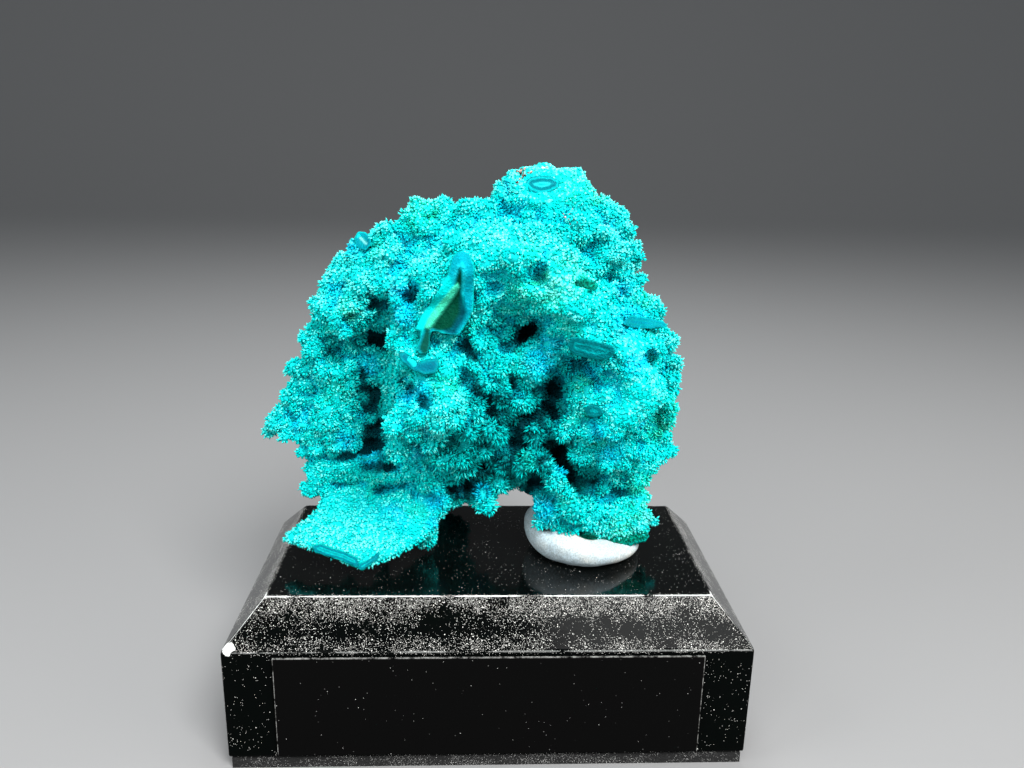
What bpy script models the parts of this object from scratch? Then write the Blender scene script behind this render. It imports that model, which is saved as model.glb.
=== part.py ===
"""Chrysocolla specimen on a black display block.

Origin: the middle of the underside. +Z is up and the label faces -Y.
Run with: blender --background --python part.py
"""
from collections import namedtuple
from math import cos, pi, radians, sin
from random import Random

import bmesh
import bpy
from mathutils import Euler, Matrix, Vector

MM = 0.001

# ---- driving dimensions, in millimetres -------------------------------------------------
BLOCK_WIDTH = 57.0          # a stock mineral base: 2 1/4 x 1 1/4 x 3/4 inch
BLOCK_DEPTH = 32.0
BLOCK_HEIGHT = 19.0
CHAMFER_IN = 4.0            # the sloping band round the top: how far inward, how far down
CHAMFER_DOWN = 4.4
EDGE_ROUND = 0.25           # the lacquered edges are slightly rounded
TOUCH_GAP = 0.3             # left between pieces that touch

PAD_THICK = 1.3             # the felt under the block
PAD_INSET = 0.3

LABEL_WIDTH = 46.0          # a length of 12 mm tape
LABEL_HEIGHT = 12.0
LABEL_THICK = 0.2
LABEL_DROP = 0.4            # from the foot of the chamfer to the tape's top edge

TACK_CENTRE = (11.3, -0.2)
TACK_RADIUS = 7.0
TACK_HEIGHT = 4.0           # at its middle, before the leg is pressed in
TACK_SLOPE = 0.5            # how much taller its -X side is, and how much lower its +X side
TACK_FOOT = 0.72            # the radius that touches the block, as a share of the full radius
TACK_SEGMENTS = 32
TACK_RINGS = 12
TACK_FACES = 900
TACK_CLEARANCE = 0.45       # round the leg

# ---- the mineral ------------------------------------------------------------------------
# A lump is an ellipsoid: its centre, its half sizes, and its turn in degrees about X, Y, Z.
Lump = namedtuple("Lump", "at half turn", defaults=((0, 0, 0),))

CORE = [
    Lump((-2, 4, 45), (15, 10, 12)),
    Lump((3, 4, 38), (15, 10, 10)),
    Lump((-8, 4, 35), (12, 9, 9)),
    Lump((2, 3, 52), (12, 9, 9)),
    Lump((11, 3, 44), (9, 9, 10)),
    Lump((1, -4, 50), (11, 7, 6)),
    Lump((-2, -4, 41), (8, 7, 7)),
    Lump((12, -4, 44), (7, 6, 7)),
    Lump((-17, 3, 34), (4, 4, 8)),
    Lump((-14, 3, 47), (7, 5, 8)),
    Lump((13, 2, 31), (7, 6, 9)),
    Lump((-2, 1, 32), (9, 6, 7)),
    Lump((-10, -1, 30), (6, 4, 4)),
]
CROWN = [
    Lump((2.8, 1, 60.8), (3.4, 3.5, 3.2)),
    Lump((6.0, 2, 61.6), (4.0, 4.5, 3.2)),
    Lump((9.4, 1, 60.4), (2.5, 3.5, 3.0)),
    Lump((5.0, -2, 58.2), (4.0, 4.0, 3.4)),
    Lump((9.0, -1, 57.5), (3.0, 4.0, 3.4)),
    Lump((12.9, 3, 57.2), (3.4, 5.0, 3.8)),
    Lump((14.2, 2, 53.8), (3.0, 5.0, 3.6)),
    Lump((11.0, -2, 55.4), (3.4, 4.0, 3.2)),
    Lump((15.0, -1, 50.6), (2.4, 3.2, 2.4)),
    Lump((18.0, 1, 48.2), (3.0, 4.0, 2.8)),
]
UPPER_LEFT = [
    Lump((-8.6, 1, 58.2), (2.4, 3.0, 2.8)),
    Lump((-5.8, 2, 58.6), (2.2, 3.0, 2.4)),
    Lump((-2.4, 2, 58.0), (3.0, 4.0, 3.0)),
    Lump((-14.4, 2, 54.8), (2.6, 3.5, 2.5)),
    Lump((-12.0, 0, 55.4), (2.6, 3.5, 2.8)),
    Lump((-8.0, -2, 54.2), (3.0, 3.5, 3.0)),
    Lump((-17.0, 2, 51.6), (2.8, 3.5, 2.7)),
    Lump((-14.0, -2, 51.6), (3.0, 3.0, 2.6)),
    Lump((-10.6, -4, 51.4), (2.5, 3.0, 2.1)),
    Lump((-18.0, 0, 48.6), (3.0, 3.5, 2.4)),
    Lump((-16.0, -3, 47.0), (2.8, 3.0, 2.0)),
    Lump((-3.5, -2, 55.5), (3.0, 4.0, 3.0)),
    Lump((0.5, -2, 57.0), (3.0, 4.0, 3.0)),
]
LEFT_FLANK = [
    Lump((-19.8, 1, 44.2), (3.0, 3.5, 2.8)),
    Lump((-18.0, 0, 41.0), (3.2, 3.5, 2.6)),
    Lump((-21.2, 3, 38.4), (3.2, 3.0, 3.0)),
    Lump((-18.6, 0, 36.0), (3.4, 3.5, 2.8)),
    Lump((-16.0, 4, 41.5), (4.0, 4.0, 5.0)),
    Lump((-20.6, 1, 32.4), (2.7, 3.0, 2.6)),
    Lump((-16.6, -1, 32.8), (3.4, 3.0, 1.8), (0, -20, 0)),
    Lump((-20.0, 1, 28.6), (2.6, 3.0, 2.6)),
    Lump((-20.2, 1, 26.2), (1.6, 2.0, 1.5)),
    Lump((-17.2, -1, 28.8), (2.6, 3.0, 1.6)),
    Lump((-12.0, -2, 33.6), (3.2, 3.0, 1.7), (0, -18, 0)),
    Lump((-12.6, -3, 30.4), (4.4, 3.2, 1.3), (0, -16, 0)),
    Lump((-12.5, 4, 33.0), (6.0, 4.0, 5.0)),
    Lump((-23.2, 3.5, 37.0), (3.4, 2.8, 3.0), (0, -50, 0)),
    Lump((-25.6, 4, 33.9), (3.0, 2.4, 2.3), (0, -50, 0)),
]
FRONT_RIDGE = [
    Lump((-8.4, -10, 50.6), (2.6, 3.5, 3.6)),
    Lump((-6.4, -11, 53.6), (2.8, 3.6, 3.2)),
    Lump((-3.5, -12, 55.9), (3.0, 3.6, 2.4)),
    Lump((-0.4, -12, 56.2), (3.2, 3.8, 2.4)),
    Lump((2.4, -12, 55.8), (3.2, 3.8, 2.4)),
    Lump((5.2, -11, 54.8), (3.2, 3.8, 2.4)),
    Lump((7.6, -11, 53.2), (2.8, 3.4, 2.2)),
    Lump((9.2, -12, 52.9), (2.0, 2.6, 1.4)),
    Lump((-2.4, -11, 50.0), (2.4, 3.4, 5.0), (0, 8, 0)),
    Lump((-5.6, -10, 50.0), (2.6, 3.0, 4.4)),
    Lump((1.0, -10, 52.0), (3.4, 3.4, 3.0)),
    Lump((4.4, -10, 51.8), (3.2, 3.4, 2.2)),
    Lump((-0.6, -8, 48.4), (3.4, 3.4, 3.0)),
    Lump((-9.8, -10, 46.6), (1.7, 2.2, 1.6)),
    Lump((-11.4, -9, 44.0), (2.1, 2.8, 2.0)),
    Lump((-8.2, -12, 45.2), (2.4, 2.8, 2.2)),
    Lump((-5.0, -12, 44.6), (2.6, 3.0, 1.9)),
]
RIGHT_FRONT = [
    Lump((10.6, -9, 50.6), (3.2, 3.6, 2.8)),
    Lump((7.8, -8, 49.0), (2.6, 3.6, 2.6)),
    Lump((12.2, -9, 47.8), (3.0, 3.6, 2.8)),
    Lump((14.4, -9, 44.6), (3.2, 3.8, 3.6)),
    Lump((16.0, -8, 41.2), (3.4, 4.0, 3.4)),
    Lump((13.6, -8, 38.8), (2.8, 3.6, 2.8)),
    Lump((10.4, -8, 40.4), (2.4, 3.2, 2.2)),
    Lump((8.6, -7, 44.8), (2.8, 3.2, 2.8)),
    Lump((5.2, -9, 43.8), (1.9, 2.6, 2.0)),
    Lump((3.2, -8, 44.2), (2.0, 2.6, 1.8)),
    Lump((9.2, -6, 37.0), (2.2, 3.2, 2.0)),
    Lump((16.4, -2, 46.6), (2.8, 3.5, 2.2)),
    Lump((19.2, 1, 44.2), (2.9, 3.6, 2.8)),
    Lump((20.8, 1, 40.6), (2.4, 3.6, 2.8)),
    Lump((20.4, 0, 36.8), (2.4, 3.4, 2.5)),
    Lump((20.0, 0, 33.4), (2.1, 3.0, 2.0)),
    Lump((21.0, 1, 31.0), (1.9, 2.4, 1.6)),
]
# The plate whose broken end shows below the ridge at the right.
BROKEN_PLATES = [
    Lump((9.6, -11.4, 47.6), (2.6, 3.2, 0.9), (0, 10, 0)),
]
HEART = [
    Lump((-5.4, -12, 41.6), (3.0, 3.4, 2.6)),
    Lump((-7.8, -11, 38.6), (2.9, 3.2, 2.6)),
    Lump((-4.2, -10, 37.8), (2.4, 3.0, 2.2)),
    Lump((-9.4, -9, 40.8), (2.0, 3.0, 2.0)),
    Lump((-9.0, -8, 35.0), (2.1, 2.8, 1.8)),
    Lump((-6.6, -6, 33.2), (2.4, 3.2, 2.0)),
    Lump((-3.0, -6, 34.0), (2.8, 3.4, 2.6)),
    Lump((0.6, -6, 36.2), (2.6, 3.4, 2.4)),
    Lump((-0.8, -7, 40.0), (3.0, 3.6, 2.6)),
    Lump((-1.2, -8, 44.4), (2.6, 3.4, 2.4)),
    Lump((3.0, -6, 39.8), (2.6, 3.2, 2.2)),
    Lump((5.4, -5, 37.0), (2.2, 3.0, 2.2)),
    Lump((3.0, -4, 33.6), (2.6, 3.2, 2.4)),
    Lump((-2.4, -5, 31.0), (2.4, 3.0, 2.0)),
    Lump((1.6, -4, 30.6), (2.2, 3.0, 1.9)),
    Lump((-5.8, -4, 29.2), (2.4, 3.0, 2.0)),
    Lump((-0.7, -3, 27.0), (2.4, 3.0, 1.9)),
    Lump((-4.6, -3, 26.0), (2.2, 3.0, 2.0)),
    Lump((1.6, -1, 27.4), (1.8, 3.0, 1.8)),
    Lump((-3.0, 2, 26.2), (5.0, 4.0, 2.8)),
]
LEG = [
    Lump((5.8, -6, 32.2), (1.7, 2.2, 1.9)),
    Lump((7.4, -6, 30.0), (1.6, 2.2, 2.0)),
    Lump((9.2, -6, 27.4), (1.8, 2.2, 2.2)),
    Lump((10.0, -5, 24.8), (2.0, 2.4, 2.0)),
    Lump((6.2, -4, 26.2), (2.0, 2.4, 1.8)),
    Lump((6.6, -3, 24.4), (1.8, 2.4, 1.6)),
    Lump((12.0, -3, 23.6), (2.4, 2.8, 2.4)),
    Lump((15.0, -3, 23.6), (2.4, 2.8, 2.6)),
    Lump((17.6, -1, 23.6), (2.4, 3.2, 2.8)),
    Lump((18.3, -1, 22.6), (2.0, 3.0, 2.2)),
    Lump((5.6, 1, 28.0), (2.8, 3.6, 4.4)),
    Lump((12.6, 2, 25.0), (5.6, 4.0, 3.4)),
    Lump((13.0, 3, 30.0), (5.0, 4.4, 5.0)),
    Lump((18.0, -1, 27.4), (1.8, 3.2, 2.6)),
    Lump((17.6, -1, 30.6), (2.4, 3.4, 2.4)),
    Lump((14.6, -4, 31.2), (2.4, 3.0, 2.2)),
    Lump((11.8, -5, 34.6), (2.6, 3.4, 2.2)),
    Lump((16.0, -4, 34.4), (2.8, 3.4, 2.4)),
    Lump((10.6, -4, 31.8), (1.8, 3.0, 1.7)),
]
BACK = [
    Lump((-8, 11, 50), (6, 5, 5)),
    Lump((2, 12, 54), (6, 5, 5)),
    Lump((9, 10, 50), (5, 5, 5)),
    Lump((-14, 10, 44), (5, 5, 5)),
    Lump((-5, 14, 44), (6, 4, 5)),
    Lump((5, 14, 46), (5, 4, 5)),
    Lump((13, 11, 42), (5, 5, 5)),
    Lump((-12, 11, 36), (6, 5, 5)),
    Lump((0, 14, 37), (6, 4, 5)),
    Lump((9, 12, 35), (5, 5, 5)),
    Lump((15, 8, 34), (4, 5, 4)),
    Lump((-6, 11, 29), (5, 4.5, 4)),
    Lump((11, 7, 29), (5, 4, 5)),
    Lump((-16, 7, 50), (3.5, 4, 3.5)),
    Lump((14, 7, 52), (3.5, 4, 3.5)),
    Lump((-19, 6, 43), (3, 4, 4)),
    Lump((19, 6, 41), (3, 4, 4)),
    Lump((5, 8, 60), (4, 4, 3.2)),
    Lump((-6, 8, 57), (3.5, 4, 3)),
    Lump((-18, 7, 33), (3.2, 3.5, 4)),
    Lump((18, 6, 34), (3, 4, 3.5)),
    Lump((16, 5, 26), (3.4, 4, 3.6)),
    Lump((6, 17, 40), (3, 2.5, 3)),
    Lump((-9, 17, 40), (3, 2.5, 3)),
    Lump((-1, 17, 49), (3.5, 2.5, 3.5)),
    Lump((-3, 16, 32), (3, 2.5, 2.5)),
]
# The low points that the specimen stands on besides its leg.
FEET = [
    Lump((-7.5, -2, 22.2), (2.0, 2.3, 4.2)),
    Lump((-9.6, 1, 25.4), (3.6, 3.4, 3.0)),
    Lump((-5, 10, 23.2), (3.2, 3.2, 5.0)),
]
LUMP_GROUPS = [CORE, CROWN, UPPER_LEFT, LEFT_FLANK, FRONT_RIDGE, RIGHT_FRONT, BROKEN_PLATES, HEART, LEG, BACK, FEET]

# Hollows, cut out after the lumps have grown together.
HOLLOWS = [
    Lump((-12.8, -8, 45.2), (2.8, 7.5, 2.9)),
    Lump((-13.0, -8, 40.0), (1.9, 6.0, 3.6)),
    Lump((3.6, -11, 47.6), (1.5, 5.0, 1.2), (0, -25, 0)),
    Lump((7.2, -9, 42.0), (0.9, 5.0, 1.3)),
    Lump((-2.9, -12, 47.0), (0.7, 4.0, 1.2)),
    Lump((7.4, -8, 33.6), (0.8, 6.0, 2.9), (0, -22, 0)),
    Lump((4.9, -6, 29.0), (1.1, 5.0, 1.6)),
    Lump((12.0, -7, 28.0), (1.6, 4.0, 2.4), (0, 12, 0)),
    Lump((-14.2, -5, 34.4), (4.4, 5.0, 0.7), (0, -20, 0)),
    Lump((-11.0, -6, 31.9), (3.4, 4.0, 0.6), (0, -14, 0)),
    Lump((-10.6, -6, 28.4), (3.0, 4.0, 0.6), (0, -12, 0)),
    Lump((-3.0, -9, 29.2), (1.0, 4.0, 0.9)),
    Lump((18.6, -5, 44.0), (1.0, 4.0, 1.2)),
    Lump((-9.6, -6, 54.0), (0.9, 3.0, 0.9)),
    Lump((-10.2, -8, 49.2), (0.8, 4.0, 1.4)),
    Lump((3, 19, 44.6), (2.0, 5.0, 1.5)),
    Lump((-4, 19, 38), (1.4, 5.0, 2.2)),
    Lump((-11, 17, 45), (1.6, 5.0, 1.4)),
    Lump((10, 16, 46), (1.4, 5.0, 1.8), (0, 30, 0)),
    Lump((-9, 16, 32), (2.2, 4.0, 1.0), (0, 20, 0)),
    Lump((5, 17, 32), (1.3, 5.0, 1.6)),
    Lump((-4, 15, 54), (1.6, 4.0, 1.2)),
    Lump((21, 8, 38), (3.0, 1.3, 1.3)),
    Lump((-22, 8, 38), (3.0, 1.3, 1.4)),
]

# The slab at the lower left: its outline seen square on, round SLAB_AT.
SLAB_OUTLINE = [(-9.8, -1.2), (-7.0, -3.4), (-0.6, -6.7), (2.6, -5.2), (6.4, -3.2), (8.0, 0.2), (7.2, 3.8),
                (2.0, 6.4), (-3.0, 5.8), (-7.2, 2.4)]
SLAB_THICK = 2.0
SLAB_ROUND = 0.4
SLAB_AT = (-13.8, -3.6, 23.7)
SLAB_TURN = (30, -4, 0)
SLAB_REACH = 11.5           # from SLAB_AT to the farthest corner

# The skin of small knobs that covers every lump. A lump's half sizes reach the knobs' tops.
KNOB_COUNT = 480
KNOB_SPACING = 2.9
KNOB_RADII = (1.3, 2.2)
KNOB_SINK = 0.4             # how deep a knob's centre lies, as a share of its radius
KNOB_RISE = 0.6
KNOB_SEED = 11
LEAST_SHARE = 0.70          # a thin lump keeps at least this share of its half size under the knobs

COARSE_GRID = 0.8           # the finest detail kept while the lumps grow together
FINE_GRID = 0.55
MINERAL_FACES = 8300

# ---- colours and finish: base colour and roughness --------------------------------------
FINISHES = {
    "chrysocolla": ((0.010, 0.520, 0.480, 1.0), 0.85),
    "mineral_tack": ((0.800, 0.800, 0.760, 1.0), 0.60),
    "display_block": ((0.006, 0.006, 0.007, 1.0), 0.18),
    "label": ((0.012, 0.012, 0.013, 1.0), 0.30),
    "felt_pad": ((0.020, 0.020, 0.020, 1.0), 0.95),
}


def clear_scene():
    """Remove whatever the file opened with."""
    for obj in list(bpy.data.objects):
        bpy.data.objects.remove(obj, do_unlink=True)


def make_collection(name):
    collection = bpy.data.collections.new(name)
    bpy.context.scene.collection.children.link(collection)
    return collection


def make_material(name):
    colour, roughness = FINISHES[name]
    material = bpy.data.materials.new(name)
    material.use_nodes = True
    material.diffuse_color = colour
    shader = material.node_tree.nodes["Principled BSDF"]
    shader.inputs["Base Color"].default_value = colour
    shader.inputs["Roughness"].default_value = roughness
    shader.inputs["Metallic"].default_value = 0.0
    return material


def make_piece(name, mesh, collection):
    """A visible piece with its own finish."""
    piece = bpy.data.objects.new(name, mesh)
    mesh.materials.append(make_material(name))
    collection.objects.link(piece)
    return piece


def make_cutter(name, mesh, collection):
    """A helper that is subtracted and never shown."""
    cutter = bpy.data.objects.new(name, mesh)
    cutter.hide_render = True
    cutter.display_type = "WIRE"
    collection.objects.link(cutter)
    return cutter


def as_mesh(name, shape):
    mesh = bpy.data.meshes.new(name)
    shape.to_mesh(mesh)
    shape.free()
    return mesh


def evaluated_mesh(obj):
    graph = bpy.context.evaluated_depsgraph_get()
    return bpy.data.meshes.new_from_object(obj.evaluated_get(graph))


def apply_modifiers(obj):
    shaped = evaluated_mesh(obj)
    obj.modifiers.clear()
    obj.data = shaped


def triangle_count(obj):
    return sum(len(face.vertices) - 2 for face in obj.data.polygons)


def shade_smooth(obj):
    for face in obj.data.polygons:
        face.use_smooth = True


def placement(at, turn):
    """The matrix that turns about the origin and then moves to a point in millimetres."""
    rotation = Euler([radians(angle) for angle in turn]).to_matrix().to_4x4()
    return Matrix.Translation(Vector(at) * MM) @ rotation


def add_lumps(shape, lumps, rise=0.0):
    for lump in lumps:
        halves = [max(half - rise, LEAST_SHARE * half) * MM for half in lump.half]
        stretch = Matrix.Diagonal((*halves, 1.0))
        bmesh.ops.create_icosphere(shape, subdivisions=3, radius=1.0, matrix=placement(lump.at, lump.turn) @ stretch)


def add_slab(shape):
    """The slab: a flat outline with thickness and rounded edges."""
    outline = bpy.data.curves.new("slab_outline", "CURVE")
    outline.dimensions = "2D"
    outline.fill_mode = "BOTH"
    outline.extrude = (SLAB_THICK / 2 - SLAB_ROUND) * MM
    outline.bevel_depth = SLAB_ROUND * MM
    spline = outline.splines.new("POLY")
    spline.points.add(len(SLAB_OUTLINE) - 1)
    for point, (x, y) in zip(spline.points, SLAB_OUTLINE):
        point.co = (x * MM, y * MM, 0.0, 1.0)
    spline.use_cyclic_u = True
    holder = bpy.data.objects.new("slab_outline", outline)
    bpy.context.scene.collection.objects.link(holder)
    slab = evaluated_mesh(holder)
    bpy.data.objects.remove(holder, do_unlink=True)
    slab.transform(placement(SLAB_AT, SLAB_TURN))
    shape.from_mesh(slab)


def grow_together(obj, grid):
    """Join everything that overlaps into one closed skin."""
    remesh = obj.modifiers.new("grow_together", "REMESH")
    remesh.mode = "VOXEL"
    remesh.voxel_size = grid * MM


def on_slab(point):
    """True on the slab, which has no knobs."""
    local = placement(SLAB_AT, SLAB_TURN).inverted() @ point
    return abs(local.z) < SLAB_THICK * MM and local.xy.length < SLAB_REACH * MM


def knob_places(mesh):
    """Points spread evenly over a mesh, each with the surface normal there."""
    draw = Random(KNOB_SEED)
    faces = [(face.center.copy(), face.normal.copy()) for face in mesh.polygons]
    places = []
    for _ in range(KNOB_COUNT * 12):
        centre, normal = draw.choice(faces)
        if on_slab(centre):
            continue
        if all((centre - other).length > KNOB_SPACING * MM for other, _ in places):
            places.append((centre, normal))
        if len(places) == KNOB_COUNT:
            break
    return places


def add_knobs(obj):
    """Cover the lumps with small knobs that stand half out of the skin."""
    draw = Random(KNOB_SEED)
    shape = bmesh.new()
    shape.from_mesh(obj.data)
    for centre, normal in knob_places(obj.data):
        radius = draw.uniform(*KNOB_RADII) * MM
        place = Matrix.Translation(centre - normal * radius * KNOB_SINK)
        bmesh.ops.create_icosphere(shape, subdivisions=2, radius=radius, matrix=place)
    obj.data = as_mesh("knobbly", shape)


def build_mineral(parts, cutters):
    shape = bmesh.new()
    for group in LUMP_GROUPS:
        add_lumps(shape, group, KNOB_RISE)
    add_slab(shape)
    mineral = make_piece("chrysocolla", as_mesh("chrysocolla", shape), parts)
    finish = mineral.data.materials[0]
    grow_together(mineral, COARSE_GRID)
    apply_modifiers(mineral)
    add_knobs(mineral)
    grow_together(mineral, FINE_GRID)
    apply_modifiers(mineral)

    shape = bmesh.new()
    add_lumps(shape, HOLLOWS)
    hollows = make_cutter("hollows", as_mesh("hollows", shape), cutters)
    grow_together(hollows, FINE_GRID)
    cut = mineral.modifiers.new("cut_hollows", "BOOLEAN")
    cut.operation = "DIFFERENCE"
    cut.solver = "EXACT"
    cut.object = hollows
    grow_together(mineral, FINE_GRID)
    soften = mineral.modifiers.new("soften", "SMOOTH")
    soften.factor = 0.5
    soften.iterations = 2
    apply_modifiers(mineral)
    drop_loose_crumbs(mineral)
    rest_on_block(mineral)

    facets = mineral.modifiers.new("facets", "DECIMATE")
    facets.ratio = MINERAL_FACES / triangle_count(mineral)
    apply_modifiers(mineral)
    mineral.data.materials.clear()
    mineral.data.materials.append(finish)
    return mineral


def rest_on_block(obj):
    """Flatten what would reach below the top of the block."""
    lowest = (BLOCK_HEIGHT + TOUCH_GAP) * MM
    for vert in obj.data.vertices:
        vert.co.z = max(vert.co.z, lowest)


def drop_loose_crumbs(obj):
    """Keep only the largest connected skin."""
    shape = bmesh.new()
    shape.from_mesh(obj.data)
    left = set(shape.verts)
    islands = []
    while left:
        island = set()
        edge = [left.pop()]
        while edge:
            vert = edge.pop()
            island.add(vert)
            for link in vert.link_edges:
                other = link.other_vert(vert)
                if other in left:
                    left.remove(other)
                    edge.append(other)
        islands.append(island)
    islands.sort(key=len)
    for island in islands[:-1]:
        bmesh.ops.delete(shape, geom=list(island), context="VERTS")
    obj.data = as_mesh("one_skin", shape)


def build_block(parts):
    """The block: a box whose top is drawn in to make the sloping band."""
    shape = bmesh.new()
    bmesh.ops.create_cube(shape, size=1.0)
    low = PAD_THICK + TOUCH_GAP
    side = BLOCK_HEIGHT - CHAMFER_DOWN - low
    for vert in shape.verts:
        vert.co = Vector((vert.co.x * BLOCK_WIDTH, vert.co.y * BLOCK_DEPTH, low + (vert.co.z + 0.5) * side)) * MM
    top = max(shape.faces, key=lambda face: face.calc_center_median().z)
    raised = bmesh.ops.extrude_discrete_faces(shape, faces=[top])["faces"][0]
    bmesh.ops.translate(shape, verts=raised.verts, vec=(0, 0, CHAMFER_DOWN * MM))
    for vert in raised.verts:
        vert.co.x *= 1 - 2 * CHAMFER_IN / BLOCK_WIDTH
        vert.co.y *= 1 - 2 * CHAMFER_IN / BLOCK_DEPTH
    block = make_piece("display_block", as_mesh("display_block", shape), parts)
    worn = block.modifiers.new("rounded_edges", "BEVEL")
    worn.width = EDGE_ROUND * MM
    worn.segments = 2
    worn.limit_method = "ANGLE"
    worn.angle_limit = radians(20)
    return block


def tack_profile():
    """Half the outline of a squashed ball, from the middle of its foot up to its top."""
    profile = bmesh.new()
    verts = []
    for ring in range(TACK_RINGS + 1):
        angle = pi * (ring / TACK_RINGS - 0.5)
        radius = TACK_RADIUS * cos(angle)
        if 0 < ring and angle < 0:
            radius = TACK_RADIUS * (TACK_FOOT + (1 - TACK_FOOT) * cos(angle))
        height = TACK_HEIGHT * (0.5 + 0.5 * sin(angle))
        verts.append(profile.verts.new((radius * MM, 0, height * MM)))
    for lower, upper in zip(verts, verts[1:]):
        profile.edges.new((lower, upper))
    return as_mesh("mineral_tack", profile)


def build_tack(parts, cutters, mineral):
    """The ball of tack: a turned profile, taller on one side, with the leg pressed into it."""
    tack = make_piece("mineral_tack", tack_profile(), parts)
    finish = tack.data.materials[0]
    turned = tack.modifiers.new("turned", "SCREW")
    turned.steps = TACK_SEGMENTS
    turned.render_steps = TACK_SEGMENTS
    turned.use_merge_vertices = True
    turned.merge_threshold = 1e-5
    turned.use_normal_calculate = True
    apply_modifiers(tack)
    for vert in tack.data.vertices:
        vert.co.z *= 1 - TACK_SLOPE * vert.co.x / (TACK_RADIUS * MM)
    tack.data.transform(Matrix.Translation(Vector((*TACK_CENTRE, BLOCK_HEIGHT + TOUCH_GAP)) * MM))

    pressed = make_cutter("pressed_leg", mineral.data.copy(), cutters)
    clearance = pressed.modifiers.new("clearance", "DISPLACE")
    clearance.strength = TACK_CLEARANCE * MM
    clearance.mid_level = 0.0
    grow_together(pressed, FINE_GRID)
    dent = tack.modifiers.new("dent", "BOOLEAN")
    dent.operation = "DIFFERENCE"
    dent.solver = "EXACT"
    dent.object = pressed
    apply_modifiers(tack)
    drop_loose_crumbs(tack)
    facets = tack.modifiers.new("facets", "DECIMATE")
    facets.ratio = min(1.0, TACK_FACES / triangle_count(tack))
    apply_modifiers(tack)
    tack.data.materials.clear()
    tack.data.materials.append(finish)
    shade_smooth(tack)
    return tack


def build_box(name, parts, size, centre):
    shape = bmesh.new()
    bmesh.ops.create_cube(shape, size=1.0)
    for vert in shape.verts:
        vert.co = Vector([vert.co[axis] * size[axis] + centre[axis] for axis in range(3)]) * MM
    return make_piece(name, as_mesh(name, shape), parts)


def build_label(parts):
    foot_of_chamfer = BLOCK_HEIGHT - CHAMFER_DOWN
    centre_z = foot_of_chamfer - LABEL_DROP - LABEL_HEIGHT / 2
    centre_y = -(BLOCK_DEPTH / 2 + TOUCH_GAP + LABEL_THICK / 2)
    return build_box("label", parts, (LABEL_WIDTH, LABEL_THICK, LABEL_HEIGHT), (0, centre_y, centre_z))


def build_pad(parts):
    size = (BLOCK_WIDTH - 2 * PAD_INSET, BLOCK_DEPTH - 2 * PAD_INSET, PAD_THICK)
    return build_box("felt_pad", parts, size, (0, 0, PAD_THICK / 2))


def main():
    clear_scene()
    parts = make_collection("chrysocolla_specimen")
    cutters = make_collection("cutters")
    mineral = build_mineral(parts, cutters)
    build_block(parts)
    build_tack(parts, cutters, mineral)
    build_label(parts)
    build_pad(parts)


main()
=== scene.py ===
"""Looks for the chrysocolla specimen on its display block.

The mineral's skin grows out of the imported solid, and a velvet of fine needles stands on it. The broken
faces, the tack, the lacquered block, its label and its pad are each built and finished by a class below.
Every length is in metres: the sizes are written in millimetres and multiplied by MM.
"""
import logging
from dataclasses import dataclass, field
from enum import Enum
from math import cos, pi, radians, sin
from typing import Iterable, Optional, Sequence

import bpy
import numpy as np
from bpy.types import Material, Mesh, Node, NodeTree, Object
from bpy.types import NodeSocket as Socket
from mathutils import Euler, Matrix, Vector
from mathutils.bvhtree import BVHTree
from mathutils.kdtree import KDTree
from numpy.random import Generator


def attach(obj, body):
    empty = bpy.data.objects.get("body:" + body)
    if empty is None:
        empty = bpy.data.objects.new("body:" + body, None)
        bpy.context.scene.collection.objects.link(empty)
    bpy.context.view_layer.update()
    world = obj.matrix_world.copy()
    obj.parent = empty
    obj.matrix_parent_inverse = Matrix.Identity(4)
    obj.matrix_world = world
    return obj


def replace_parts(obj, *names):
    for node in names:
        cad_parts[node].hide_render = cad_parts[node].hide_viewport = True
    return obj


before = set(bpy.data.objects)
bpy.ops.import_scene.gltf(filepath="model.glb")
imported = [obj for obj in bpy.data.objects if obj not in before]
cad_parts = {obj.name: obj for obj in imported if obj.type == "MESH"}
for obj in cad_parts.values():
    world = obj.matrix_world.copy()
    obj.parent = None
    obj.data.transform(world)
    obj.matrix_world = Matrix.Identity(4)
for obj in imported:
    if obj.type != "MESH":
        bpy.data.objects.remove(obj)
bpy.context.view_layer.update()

MM = 0.001
BODY = "root"
Colour = tuple[float, float, float, float]
LOG = logging.getLogger("chrysocolla")


# ---- modelling helpers ----

def deselect_all() -> None:
    """Leave nothing selected, so that the next operator acts on its own object alone."""
    for obj in list(bpy.context.selected_objects):
        obj.select_set(False)


def take(obj: Object) -> Object:
    """Make one object the selected and active one."""
    deselect_all()
    obj.select_set(True)
    bpy.context.view_layer.objects.active = obj
    return obj


def apply_modifiers(obj: Object) -> None:
    """Apply every modifier of an object, in order."""
    take(obj)
    for modifier in list(obj.modifiers):
        bpy.ops.object.modifier_apply(modifier=modifier.name)


def settle(obj: Object) -> Object:
    """Move an object's place into its mesh, so that the object sits unturned at the origin."""
    take(obj)
    bpy.ops.object.transform_apply(location=True, rotation=True, scale=True)
    return obj


def copy_of_node(node: str, name: str) -> Object:
    """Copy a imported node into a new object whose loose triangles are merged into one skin.

    Args:
        node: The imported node's name.
        name: The new object's name.

    Returns:
        The copy, selected and active.
    """
    copy = bpy.data.objects.new(name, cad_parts[node].data.copy())
    copy.data.name = name
    copy.data.materials.clear()
    bpy.context.scene.collection.objects.link(copy)
    take(copy)
    bpy.ops.object.mode_set(mode="EDIT")
    bpy.ops.mesh.select_all(action="SELECT")
    bpy.ops.mesh.remove_doubles(threshold=1e-6)
    bpy.ops.object.mode_set(mode="OBJECT")
    return copy


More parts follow.
